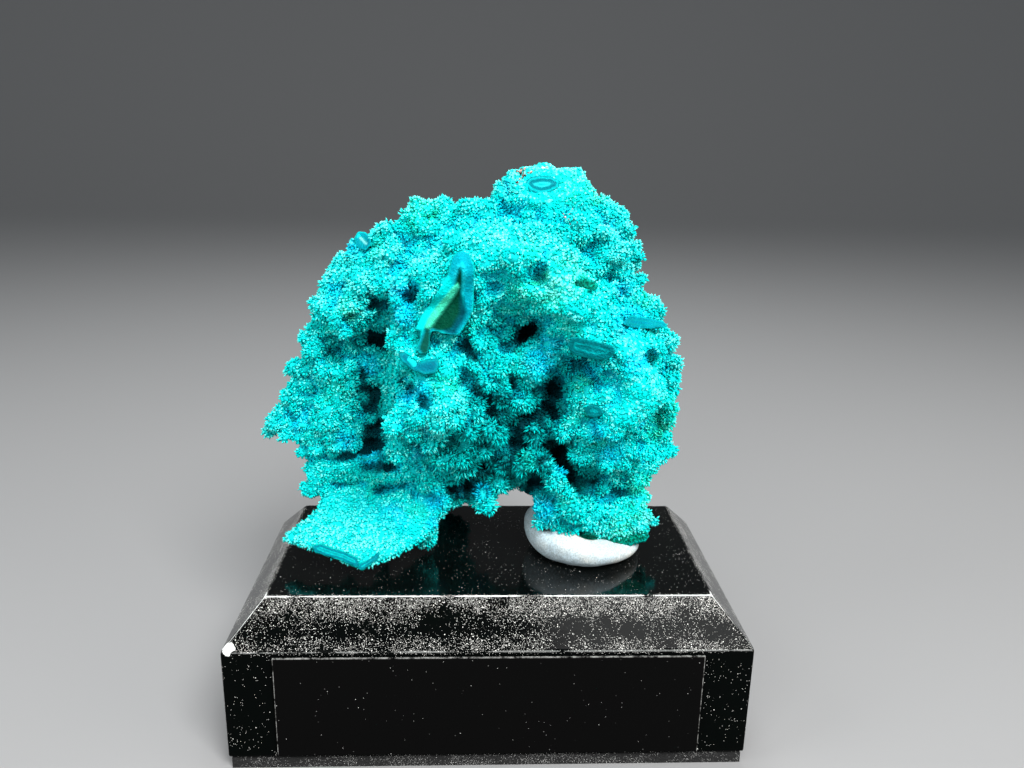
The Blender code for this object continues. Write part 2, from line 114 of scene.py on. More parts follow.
def points_of(mesh: Mesh) -> np.ndarray:
    """The mesh's points as an array with one row each."""
    flat = np.empty(len(mesh.vertices) * 3)
    mesh.vertices.foreach_get("co", flat)
    return flat.reshape(-1, 3)


def normals_of(mesh: Mesh) -> np.ndarray:
    """The normals at the mesh's points as an array with one row each."""
    flat = np.empty(len(mesh.vertices) * 3)
    mesh.vertex_normals.foreach_get("vector", flat)
    return flat.reshape(-1, 3)


def set_points(mesh: Mesh, points: np.ndarray) -> None:
    """Move all of the mesh's points."""
    mesh.vertices.foreach_set("co", points.ravel())
    mesh.update()


def edges_of(mesh: Mesh) -> np.ndarray:
    """The mesh's edges as an array with one row of two point numbers each."""
    flat = np.empty(len(mesh.edges) * 2, dtype=np.int64)
    mesh.edges.foreach_get("vertices", flat)
    return flat.reshape(-1, 2)


def store(mesh: Mesh, name: str, values: np.ndarray) -> None:
    """Store one number, or one colour, at each of the mesh's points."""
    kind, key = ("FLOAT", "value") if values.ndim == 1 else ("FLOAT_COLOR", "color")
    mesh.attributes.new(name, kind, "POINT").data.foreach_set(key, values.astype(np.float32).ravel())


def stored(mesh: Mesh, name: str) -> np.ndarray:
    """The numbers that were stored at the mesh's points."""
    values = np.empty(len(mesh.vertices), dtype=np.float32)
    mesh.attributes[name].data.foreach_get("value", values)
    return values


def tree_of(points: Sequence[np.ndarray]) -> KDTree:
    """A tree that finds the nearest of some points by its number."""
    tree = KDTree(len(points))
    for index, point in enumerate(points):
        tree.insert(point, index)
    tree.balance()
    return tree


def surface_of(obj: Object) -> BVHTree:
    """An object's surface, for rays to meet."""
    return BVHTree.FromObject(obj, bpy.context.evaluated_depsgraph_get())


def smooth_shaded(obj: Object) -> Object:
    """Let the light run smoothly over an object's edges."""
    for face in obj.data.polygons:
        face.use_smooth = True
    return obj


def even_out(obj: Object, size: float, softening: int) -> None:
    """Add the modifiers that give an object even faces and then soften it.

    Args:
        obj: The object.
        size: The size of its new faces.
        softening: How many times its points are averaged.
    """
    even = obj.modifiers.new("even_faces", "REMESH")
    even.mode = "VOXEL"
    even.voxel_size = size
    soften = obj.modifiers.new("soften", "SMOOTH")
    soften.iterations = softening


def roughen(obj: Object, name: str, size: float, strength: float, level: float = 0.5) -> None:
    """Add the modifier that presses cloudy hills and hollows into an object.

    Args:
        obj: The object.
        name: The modifier's name.
        size: How wide the hills are.
        strength: How far the highest hill stands above the lowest hollow.
        level: Where between them the object was before, from 0 at the lowest to 1.
    """
    clouds = bpy.data.textures.new(name, "CLOUDS")
    clouds.noise_scale = size
    press = obj.modifiers.new(name, "DISPLACE")
    press.texture = clouds
    press.strength = strength
    press.mid_level = level


def unit(vectors: np.ndarray) -> np.ndarray:
    """The rows of an array, each made one long."""
    return vectors / np.maximum(np.linalg.norm(vectors, axis=1, keepdims=True), 1e-12)


def smoothed(points: np.ndarray, edges: np.ndarray, rounds: int) -> np.ndarray:
    """Points that have been moved to the average of their neighbours several times.

    Args:
        points: One row for each point.
        edges: One row of two point numbers for each edge.
        rounds: How many times to average.

    Returns:
        The new points.
    """
    count = len(points)
    ends = np.concatenate([edges[:, 0], edges[:, 1]])
    others = np.concatenate([edges[:, 1], edges[:, 0]])
    links = np.maximum(np.bincount(ends, minlength=count), 1)[:, None]
    for _ in range(rounds):
        total = np.stack([np.bincount(ends, points[others, axis], minlength=count) for axis in range(3)], axis=1)
        points = 0.5 * points + 0.5 * total / links
    return points


def finish_piece(obj: Object, material: Material) -> Object:
    """Give a piece its material and the body that it rides on."""
    obj.data.materials.clear()
    obj.data.materials.append(material)
    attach(obj, BODY)
    LOG.info("%s: %d triangles", obj.name, sum(len(face.vertices) - 2 for face in obj.data.polygons))
    return obj


# ---- shader helpers ----

class Graph:
    """Adds and joins the nodes of one shader tree."""

    def __init__(self, tree: NodeTree) -> None:
        """Remember the tree that the nodes go into."""
        self.tree = tree

    def node(self, kind: str, **settings: object) -> Node:
        """Add a node of a kind, with some of its settings."""
        added = self.tree.nodes.new(kind)
        for name, value in settings.items():
            setattr(added, name, value)
        return added

    def put(self, socket: Socket, value: object) -> None:
        """Feed an input with another node's output, or set it to a constant."""
        if isinstance(value, Socket):
            self.tree.links.new(value, socket)
        elif value is not None:
            socket.default_value = value

    def math(self, operation: str, first: object, second: object = None, clamp: bool = False) -> Socket:
        """The result of one arithmetic step."""
        step = self.node("ShaderNodeMath", operation=operation, use_clamp=clamp)
        self.put(step.inputs[0], first)
        self.put(step.inputs[1], second)
        return step.outputs[0]

    def times(self, first: object, second: object) -> Socket:
        """The product of two values."""
        return self.math("MULTIPLY", first, second)

    def plus(self, first: object, second: object) -> Socket:
        """The sum of two values."""
        return self.math("ADD", first, second)

    def minus(self, first: object, second: object) -> Socket:
        """The first value less the second."""
        return self.math("SUBTRACT", first, second)

    def most(self, first: object, second: object) -> Socket:
        """The larger of two values."""
        return self.math("MAXIMUM", first, second)

    def blend(self, share: object, first: object, second: object, how: str = "MIX") -> Socket:
        """A mixture of two colours."""
        mix = self.node("ShaderNodeMix", data_type="RGBA", blend_type=how, clamp_factor=True)
        self.put(mix.inputs["Factor"], share)
        self.put(mix.inputs[6], first)
        self.put(mix.inputs[7], second)
        return mix.outputs[2]

    def dimmed(self, colour: object, value: object) -> Socket:
        """A colour times a brightness."""
        grey = self.node("ShaderNodeCombineColor")
        for channel in grey.inputs:
            self.put(channel, value)
        return self.blend(1.0, colour, grey.outputs[0], "MULTIPLY")

    def parts(self, value: object, kind: str = "ShaderNodeSeparateColor") -> Sequence[Socket]:
        """The three parts of a colour, or those of a vector with the kind ShaderNodeSeparateXYZ."""
        split = self.node(kind)
        self.put(split.inputs[0], value)
        return split.outputs

    def between(self, value: object, low: float, high: float) -> Socket:
        """0 below low, 1 above high, and a smooth rise between them. High may be the smaller one."""
        step = self.node("ShaderNodeMapRange", interpolation_type="SMOOTHSTEP", clamp=True)
        self.put(step.inputs["Value"], value)
        flip = low > high
        self.put(step.inputs["From Min"], min(low, high))
        self.put(step.inputs["From Max"], max(low, high))
        self.put(step.inputs["To Min"], 1.0 if flip else 0.0)
        self.put(step.inputs["To Max"], 0.0 if flip else 1.0)
        return step.outputs["Result"]

    def place(self) -> Socket:
        """The Object coordinates."""
        return self.node("ShaderNodeTexCoord").outputs["Object"]

    def attribute(self, name: str, output: str = "Fac") -> Socket:
        """One of the piece's own attributes."""
        return self.node("ShaderNodeAttribute", attribute_name=name).outputs[output]

    def noise(self, vector: object, size: float, detail: float = 2.0, rough: float = 0.5) -> Socket:
        """Cloudy noise whose clouds are about size metres across."""
        clouds = self.node("ShaderNodeTexNoise")
        self.put(clouds.inputs["Vector"], vector)
        self.put(clouds.inputs["Scale"], 1.0 / size)
        self.put(clouds.inputs["Detail"], detail)
        self.put(clouds.inputs["Roughness"], rough)
        return clouds.outputs["Fac"]

    def bump(self, shader: Node, height: object, distance: float, strength: float = 1.0) -> None:
        """Turn a height from 0 to 1 into a relief on a shader, distance metres high."""
        relief = self.node("ShaderNodeBump")
        self.put(relief.inputs["Strength"], strength)
        self.put(relief.inputs["Distance"], distance)
        self.put(relief.inputs["Height"], height)
        self.put(shader.inputs["Normal"], relief.outputs["Normal"])

    def group(self, tree: NodeTree, **inputs: object) -> Node:
        """Place a node group and feed its inputs by name, with _ for a space."""
        placed = self.node("ShaderNodeGroup", node_tree=tree)
        for name, value in inputs.items():
            self.put(placed.inputs[name.replace("_", " ")], value)
        return placed


def new_group(name: str, inputs: dict[str, object], outputs: dict[str, str]) -> tuple:
    """Start a shader node group.

    Args:
        name: The group's name.
        inputs: Each input's name with its default: a number, a colour or "vector".
        outputs: Each output's name with its socket type.

    Returns:
        The group's tree, its graph, its input sockets by name and its output node.
    """
    tree = bpy.data.node_groups.new(name, "ShaderNodeTree")
    for label, default in inputs.items():
        kind = "NodeSocketVector" if default == "vector" else "NodeSocketFloat"
        if isinstance(default, tuple):
            kind = "NodeSocketColor"
        socket = tree.interface.new_socket(label, in_out="INPUT", socket_type=kind)
        if default != "vector":
            socket.default_value = default
    for label, kind in outputs.items():
        tree.interface.new_socket(label, in_out="OUTPUT", socket_type=kind)
    graph = Graph(tree)
    entry = graph.node("NodeGroupInput")
    leave = graph.node("NodeGroupOutput")
    return tree, graph, entry.outputs, leave


def new_material(name: str, roughness: float, **constants: object) -> tuple:
    """Start a material with one Principled shader.

    Args:
        name: The material's name.
        roughness: The roughness where nothing feeds it.
        **constants: Other sockets of the shader, with _ for a space.

    Returns:
        The material, its graph and its Principled shader.
    """
    material = bpy.data.materials.new(name)
    material.use_nodes = True
    graph = Graph(material.node_tree)
    shader = material.node_tree.nodes["Principled BSDF"]
    shader.inputs["Roughness"].default_value = roughness
    for socket, value in constants.items():
        shader.inputs[socket.replace("_", " ")].default_value = value
    return material, graph, shader


# ---- copies of one model ----

@dataclass(frozen=True)
class Model:
    """One modelled shape that is copied many times.

    Attributes:
        points: The shape's points, one row each.
        faces: The shape's triangles, one row of point numbers each.
    """

    points: np.ndarray
    faces: np.ndarray

    @classmethod
    def taken(cls) -> "Model":
        """Turn the active object, a fresh primitive, into a model and remove the object."""
        obj = bpy.context.active_object
        take(obj)
        obj.modifiers.new("triangles", "TRIANGULATE")
        apply_modifiers(obj)
        model = cls(points_of(obj.data), np.array([list(face.vertices) for face in obj.data.polygons]))
        bpy.data.objects.remove(obj, do_unlink=True)
        return model

    @classmethod
    def needle(cls, waist: float = 0.62) -> "Model":
        """A three-sided crystal, one unit long and one unit wide at its waist, that stands on its root."""
        bpy.ops.mesh.primitive_cone_add(vertices=3, radius1=0.5, depth=1.0 - waist, end_fill_type="TRIFAN",
                                        location=(0, 0, (1.0 + waist) / 2))
        crystal = settle(bpy.context.active_object)
        points = points_of(crystal.data)
        heart = (np.hypot(points[:, 0], points[:, 1]) < 0.1) & (points[:, 2] < (1.0 + waist) / 2)
        points[heart] = 0.0
        set_points(crystal.data, points)
        return cls.taken()

    @classmethod
    def ball(cls, subdivisions: int = 2) -> "Model":
        """A round lump of radius one."""
        bpy.ops.mesh.primitive_ico_sphere_add(subdivisions=subdivisions, radius=1.0)
        return cls.taken()

    def copies(self, name: str, places: np.ndarray, frames: np.ndarray) -> Object:
        """Join many placed copies into one object.

        Args:
            name: The object's name.
            places: Where each copy's origin goes.
            frames: For each copy, three rows that say where its X, Y and Z unit lengths go.

        Returns:
            The object, with the copies' points in order.
        """
        count, size = len(places), len(self.points)
        points = np.einsum("kj,njd->nkd", self.points, frames) + places[:, None, :]
        index = (self.faces[None] + (np.arange(count) * size)[:, None, None]).reshape(-1)
        mesh = bpy.data.meshes.new(name)
        mesh.vertices.add(count * size)
        mesh.vertices.foreach_set("co", points.ravel())
        mesh.loops.add(len(index))
        mesh.loops.foreach_set("vertex_index", index)
        mesh.polygons.add(len(index) // 3)
        mesh.polygons.foreach_set("loop_start", np.arange(len(index) // 3) * 3)
        mesh.update(calc_edges=True)
        obj = bpy.data.objects.new(name, mesh)
        bpy.context.scene.collection.objects.link(obj)
        return obj


def round_frames(sizes: np.ndarray, draw: Generator) -> np.ndarray:
    """Randomly turned frames whose three axes have the given lengths."""
    first = unit(draw.normal(size=(len(sizes), 3)))
    second = unit(np.cross(first, draw.normal(size=(len(sizes), 3))))
    third = np.cross(first, second)
    return np.stack([first, second, third], axis=1) * sizes[:, :, None]


# ---- where things sit, as seen from the front ----

# The eye, the front plane's place, the place behind which nothing that is laid on from the front reaches,
# and how a line of sight that misses the mineral looks for a seat close beside it.
EYE = np.array((-2.08, -96.94, 67.72)) * MM
FRONT = -6.0 * MM
FRONT_END = 6.0 * MM
SEARCH_STEPS = 12
SEARCH_REACH = 2.5 * MM


def sight(x: float, z: float) -> tuple[np.ndarray, float]:
    """The line of sight through a point of the front plane.

    Args:
        x: The point's place to the right, in millimetres.
        z: The point's height, in millimetres.

    Returns:
        The line's direction, and the distance from the eye to the point.
    """
    line = np.array((x * MM, FRONT, z * MM)) - EYE
    away = float(np.linalg.norm(line))
    return line / away, away


@dataclass(frozen=True)
class Seat:
    """Where a line of sight meets the mineral.

    Attributes:
        at: The meeting point.
        line: The direction of sight.
        scale: How much larger a size is here than on the front plane, where it was stated.
    """

    at: np.ndarray
    line: np.ndarray
    scale: float

    @classmethod
    def on(cls, tree: BVHTree, x: float, z: float) -> Optional["Seat"]:
        """Find the seat of a point of the front plane, or None where nothing is behind it or close beside it."""
        line, away = sight(x, z)
        hit, _, _, distance = tree.ray_cast(Vector(EYE), Vector(line))
        if hit is not None:
            return cls(np.array(hit), line, distance / away)
        distance = away
        for _ in range(SEARCH_STEPS):
            beside = np.array(tree.find_nearest(Vector(EYE + line * distance))[0])
            distance = float((beside - EYE) @ line)
        at = EYE + line * distance
        return cls(at, line, distance / away) if np.linalg.norm(beside - at) < SEARCH_REACH else None


# ---- the mineral ----

class Quality(Enum):
    """What a zone changes about the growth, by the name of its factor."""

    TUFTS = "tufts"
    NEEDLES = "needles"


@dataclass(frozen=True)
class Zone:
    """A round region of the mineral where its growth differs.

    Attributes:
        at: The region's middle, in millimetres.
        reach: How far it reaches, in millimetres.
        tufts: How strongly the tufts stand out there, against 1 elsewhere.
        needles: How long the needles are there, against 1 elsewhere.
    """

    at: tuple[float, float, float]
    reach: float
    tufts: float
    needles: float


# Lumps of growth: place to the right and height on the front plane, and radius, in millimetres.
LUMPS = (
    # left flank
    (-18.1, 49.6, 1.4), (-19.2, 47.4, 1.0), (-15.2, 49.1, 2.1), (-18.9, 45.0, 1.3), (-20.9, 43.0, 1.2),
    (-17.7, 42.6, 1.3), (-20.9, 39.6, 1.4), (-23.2, 36.5, 1.2), (-20.7, 36.5, 1.2), (-18.2, 36.7, 1.3),
    (-16.1, 35.9, 1.2), (-19.2, 34.1, 1.3), (-19.9, 31.3, 1.1), (-20.3, 28.9, 1.1), (-12.9, 48.6, 1.3),
    # upper left
    (-16.7, 52.6, 1.5), (-13.7, 56.5, 1.4), (-14.0, 52.1, 1.7), (-10.7, 54.9, 2.0), (-11.3, 57.6, 1.3),
    (-7.7, 59.4, 1.9), (-5.7, 60.1, 1.1), (-9.6, 51.8, 1.6), (-9.4, 49.0, 1.1), (-15.5, 54.5, 1.1), (-6.7, 56.9, 1.7),
    (-2.6, 59.5, 1.7), (-0.5, 59.8, 1.3),
    # crown and shoulder
    (8.4, 63.4, 1.0), (9.5, 62.5, 0.9), (1.0, 62.1, 1.1), (11.9, 59.7, 1.2), (13.7, 56.1, 1.2), (11.0, 57.6, 1.2),
    (15.3, 55.3, 0.7), (8.3, 58.6, 1.3), (12.3, 51.9, 1.2), (14.2, 52.1, 1.0), (16.7, 50.0, 1.1), (1.2, 62.7, 0.9),
    (1.9, 63.3, 0.9), (2.9, 63.7, 0.8), (3.9, 63.9, 0.7), (5.0, 63.9, 0.7), (6.1, 63.9, 0.7), (7.2, 63.9, 0.8),
    (8.4, 63.6, 0.9), (10.9, 60.8, 0.9), (12.1, 60.5, 0.9), (13.1, 59.6, 0.9), (13.9, 58.3, 0.9), (14.6, 56.7, 0.9),
    (15.1, 54.9, 0.8), (15.5, 53.0, 0.8),
    # left edge
    (-21.4, 42.6, 0.9), (-21.0, 41.4, 0.9), (-22.4, 36.9, 0.9), (-21.6, 36.0, 0.9), (-22.6, 35.2, 0.8),
    (-21.4, 35.1, 0.9), (-20.8, 33.4, 0.9),
    # edge of the slab and of the ear
    (-22.7, 23.1, 0.8), (-22.0, 23.9, 0.8), (-21.9, 22.6, 0.8), (-21.1, 24.5, 0.7), (-20.8, 22.6, 0.7),
    (-24.6, 35.9, 0.8), (-24.0, 36.6, 0.9),
    # sheet from the ridge down to its broken end
    (7.0, 50.7, 2.2), (8.6, 50.7, 2.4), (10.3, 49.9, 2.2), (8.2, 48.8, 2.2), (9.8, 48.0, 2.0), (11.5, 47.7, 1.6),
    # roof over the broken end of the sheet
    (8.6, 47.9, 0.8), (10.2, 47.6, 0.8), (11.9, 47.2, 0.8), (13.2, 46.6, 0.6), (7.5, 47.2, 0.8),
    # edge of the right lobe
    (13.6, 47.5, 0.5), (14.3, 46.2, 0.5), (15.3, 45.1, 0.6), (16.2, 44.0, 0.6), (17.2, 42.7, 0.6), (18.1, 41.1, 0.6),
    # ridge
    (-4.1, 56.4, 1.6), (-1.5, 56.9, 1.7), (1.1, 57.3, 1.7), (3.7, 57.3, 1.9), (5.6, 56.3, 1.7), (7.4, 55.2, 1.7),
    (9.3, 54.2, 1.5), (1.8, 55.4, 1.5), (0.6, 51.7, 1.3), (3.3, 52.1, 1.1), (5.4, 51.6, 1.1), (7.5, 52.3, 1.5),
    (9.6, 52.6, 1.1), (6.6, 47.5, 1.1), (8.2, 48.6, 1.3), (10.5, 48.8, 1.5),
    # near mass
    (-6.7, 51.6, 1.3), (-7.3, 49.5, 1.3), (-8.7, 47.8, 1.1), (-10.3, 46.4, 1.4), (-11.6, 43.1, 2.2),
    (-13.0, 43.3, 1.1), (-8.9, 44.0, 1.5), (-5.7, 44.6, 1.3), (-5.2, 42.4, 1.3), (-10.7, 36.6, 1.5),
    (-8.1, 38.1, 1.7), (-5.2, 38.4, 2.9), (-3.0, 36.1, 1.3), (-6.8, 34.9, 1.5), (-10.2, 33.7, 1.4),
    (-11.5, 32.1, 0.7), (-9.7, 31.1, 1.3), (-8.6, 30.1, 1.1),
    # centre
    (0.2, 45.7, 1.3), (-2.5, 43.5, 1.1), (-1.4, 45.7, 0.9), (-1.4, 42.4, 1.3), (0.8, 43.5, 1.3), (4.0, 43.2, 1.9),
    (2.4, 44.7, 1.3), (5.9, 45.8, 1.3), (3.0, 39.6, 1.5), (0.8, 40.1, 1.3), (0.3, 36.1, 1.5), (-1.9, 37.8, 1.3),
    (-3.5, 39.5, 1.1), (4.2, 36.7, 1.5), (6.2, 34.9, 1.3), (-1.3, 33.7, 1.3), (1.5, 32.5, 1.3), (3.8, 32.0, 1.0),
    (-4.1, 33.1, 1.3), (-5.8, 32.5, 1.1), (-6.9, 31.3, 1.3), (-3.5, 28.9, 0.8), (-1.3, 28.9, 1.1), (-5.2, 27.7, 1.0),
    (-0.7, 27.1, 1.3), (-2.4, 31.3, 1.0), (1.0, 29.5, 1.3),
    # right
    (11.6, 42.3, 1.4), (12.7, 40.6, 1.3), (11.3, 43.5, 1.0), (9.9, 41.3, 1.7), (9.1, 39.0, 1.1), (11.1, 39.6, 1.3),
    (8.1, 36.1, 1.4), (10.9, 35.6, 1.3), (13.1, 36.2, 1.3), (9.9, 33.2, 1.5), (12.7, 32.6, 1.5), (14.9, 33.8, 1.1),
    (16.6, 33.8, 1.3), (19.8, 33.8, 1.2), (19.6, 36.0, 0.8), (18.4, 32.4, 1.1), (11.1, 31.4, 1.1), (12.4, 28.9, 1.3),
    (16.9, 30.2, 1.3), (15.1, 31.4, 0.9), (17.0, 27.7, 1.3), (17.6, 45.4, 1.3), (18.9, 46.5, 1.3), (19.9, 44.0, 1.0),
    (19.7, 41.4, 1.1), (19.7, 38.5, 1.0),
    # leg
    (4.3, 33.2, 1.0), (6.0, 32.0, 1.2), (7.3, 30.2, 1.3), (8.6, 28.3, 1.3), (10.0, 25.9, 1.1), (11.4, 24.6, 1.0),
    (6.2, 26.7, 1.5), (5.8, 24.8, 0.9), (7.9, 25.9, 1.0), (12.5, 25.9, 1.3), (14.8, 25.9, 1.3), (17.1, 25.9, 1.3),
    (14.3, 23.7, 1.1), (17.2, 24.0, 1.1), (18.5, 25.2, 0.8), (5.3, 27.0, 0.8), (5.7, 26.0, 0.8), (6.3, 24.5, 0.8),
    (7.2, 24.6, 0.8), (8.4, 24.2, 0.8), (9.5, 23.7, 0.8), (11.6, 22.9, 0.9), (13.2, 22.7, 0.9), (14.9, 22.7, 0.9),
    (16.5, 23.2, 0.9),
)

# Holes and slits: place to the right and height on the front plane, half width, half height, turn in
# degrees, and depth, in millimetres.
HOLES = (
    (3.7, 59.7, 3.6, 0.9, 0, 1.4), (10.2, 56.0, 1.8, 0.9, 20, 1.4), (-8.4, 56.2, 1.5, 1.2, 0, 1.2),
    (1.2, 48.4, 2.9, 1.9, 5, 1.6), (-12.9, 41.8, 1.5, 5.6, -8, 2.4), (-16.0, 45.0, 2.6, 1.5, 0, 1.5),
    (-12.6, 31.2, 4.0, 1.2, 15, 1.5), (3.5, 47.2, 1.2, 0.8, 35, 5.0), (13.8, 51.9, 0.3, 0.3, 0, 1.0),
    (4.5, 48.5, 0.5, 0.6, 20, 3.0), (1.6, 45.5, 0.5, 0.4, 20, 2.5), (6.6, 41.0, 0.8, 0.6, -10, 3.0),
    (6.7, 42.9, 0.33, 0.6, 0, 2.0), (6.5, 38.4, 0.9, 0.5, -50, 3.0), (9.5, 43.6, 1.64, 0.66, -10, 2.5),
    (-3.4, 47.4, 0.44, 0.87, 0, 2.5), (-3.2, 45.5, 1.09, 0.55, -5, 3.0), (-4.3, 44.2, 0.33, 0.33, 0, 2.0),
    (-0.7, 47.4, 0.55, 0.55, 0, 2.0), (-3.4, 42.0, 0.33, 0.55, 0, 2.0), (-0.9, 39.9, 0.44, 0.44, 0, 2.0),
    (-0.1, 38.9, 0.44, 0.76, -30, 2.5), (2.4, 41.3, 0.87, 0.87, 0, 1.5), (3.7, 37.7, 0.55, 0.55, 0, 2.5),
    (2.4, 36.4, 0.44, 0.33, 0, 2.0), (-7.4, 39.3, 0.55, 0.76, 0, 2.5), (-9.5, 42.2, 0.55, 0.76, 0, 1.5),
    (-8.6, 50.9, 0.44, 0.76, 0, 3.0), (-9.4, 54.2, 0.44, 0.33, 0, 1.5), (-12.0, 50.3, 0.98, 0.55, 0, 2.0),
    (-11.9, 46.2, 1.86, 0.98, -15, 3.5), (-13.5, 41.9, 1.09, 0.55, -30, 2.5), (-12.7, 39.7, 0.66, 1.42, 25, 3.0),
    (-12.4, 36.2, 0.66, 1.42, 0, 3.0), (-13.1, 34.1, 1.42, 0.55, 25, 4.0), (-16.3, 32.8, 1.09, 0.44, 10, 3.0),
    (-17.9, 32.9, 0.44, 0.33, 0, 2.0), (-13.3, 31.5, 1.09, 0.44, 5, 3.0), (-11.3, 31.5, 1.09, 0.55, -5, 3.5),
    (-11.9, 29.1, 1.09, 0.55, 15, 3.0), (-10.2, 29.4, 1.31, 0.44, 5, 3.0), (-8.7, 28.7, 0.44, 0.55, 0, 2.0),
    (-16.6, 29.6, 0.98, 0.33, 0, 2.0), (-14.9, 48.2, 0.76, 0.66, 30, 1.5), (-15.6, 45.4, 0.87, 0.66, 0, 1.5),
    (5.2, 29.8, 1.09, 1.31, 0, 5.0), (7.3, 34.0, 0.87, 1.53, 15, 5.0), (8.6, 31.4, 0.66, 1.42, 25, 4.0),
    (11.5, 29.6, 1.64, 1.64, 0, 1.8), (14.8, 30.7, 0.66, 0.44, 15, 2.0), (14.3, 28.7, 0.87, 0.66, 0, 2.5),
    (12.7, 28.1, 1.31, 0.44, 0, 2.0), (17.3, 44.2, 0.87, 0.66, -20, 3.5), (11.4, 41.6, 0.44, 0.55, 0, 2.0),
    (16.6, 34.2, 1.09, 0.55, 0, 1.2), (-1.3, 31.8, 0.44, 0.87, -20, 3.0), (-2.4, 29.5, 0.66, 0.98, 0, 3.0),
    (-4.4, 28.9, 0.44, 0.87, 0, 2.5), (-2.9, 26.8, 1.2, 0.76, 0, 2.5), (2.6, 34.3, 0.76, 0.87, 0, 1.8),
    (4.6, 53.5, 0.76, 0.76, 0, 2.0), (0.1, 51.7, 0.44, 0.66, -40, 1.5), (-2.1, 50.7, 0.33, 0.55, 0, 1.5),
    (2.3, 50.2, 0.33, 0.22, 0, 1.0), (-1.0, 57.9, 0.44, 0.44, 0, 1.5), (0.8, 62.3, 0.33, 0.33, 0, 1.0),
)

# Where the growth turns blue, and where it turns green: place to the right and height on the front plane,
# and radius, in millimetres.
BLUER = (
    (-6.3, 27.7, 1.3), (-6.9, 25.0, 0.9), (-8.2, 33.7, 0.9), (-7.4, 40.6, 1.3), (-9.2, 39.7, 1.1), (-13.0, 43.1, 0.9),
    (-9.4, 49.0, 1.3), (-9.6, 51.4, 1.1), (6.2, 26.7, 1.7), (7.7, 31.4, 0.9), (5.1, 43.9, 1.7), (5.9, 45.8, 1.0),
    (10.6, 42.8, 0.9), (13.2, 33.8, 1.5), (11.8, 36.1, 1.1), (-21.0, 36.2, 1.0), (-16.2, 34.8, 1.1),
    (-13.5, 33.1, 1.5), (-3.5, 28.9, 0.9), (-1.3, 28.9, 1.1), (14.7, 48.4, 2.0), (15.5, 43.7, 1.3),
    (-14.5, 55.7, 0.9), (13.8, 51.9, 0.9),
)
GREENER = (
    (-7.7, 59.7, 1.7), (7.7, 62.2, 1.5), (9.2, 62.7, 0.9), (-15.2, 48.9, 0.9), (7.4, 53.9, 1.7), (6.5, 51.0, 1.5),
    (9.1, 52.4, 1.3), (2.8, 51.6, 1.2), (4.3, 51.7, 1.3), (5.7, 51.2, 1.2), (7.0, 50.8, 1.2), (8.3, 51.3, 1.1),
    (9.9, 41.3, 0.9), (15.8, 50.8, 1.0), (19.9, 39.1, 0.9), (18.2, 36.2, 1.3), (14.9, 24.0, 1.5), (-5.2, 41.2, 1.5),
    (3.7, 56.0, 1.1), (17.5, 29.5, 1.8), (16.8, 26.5, 1.5), (10.5, 61.5, 1.0), (19.0, 37.0, 1.5), (5.8, 53.1, 0.8),
    (6.7, 52.4, 0.9), (7.7, 51.7, 0.8), (7.9, 53.1, 0.7),
)

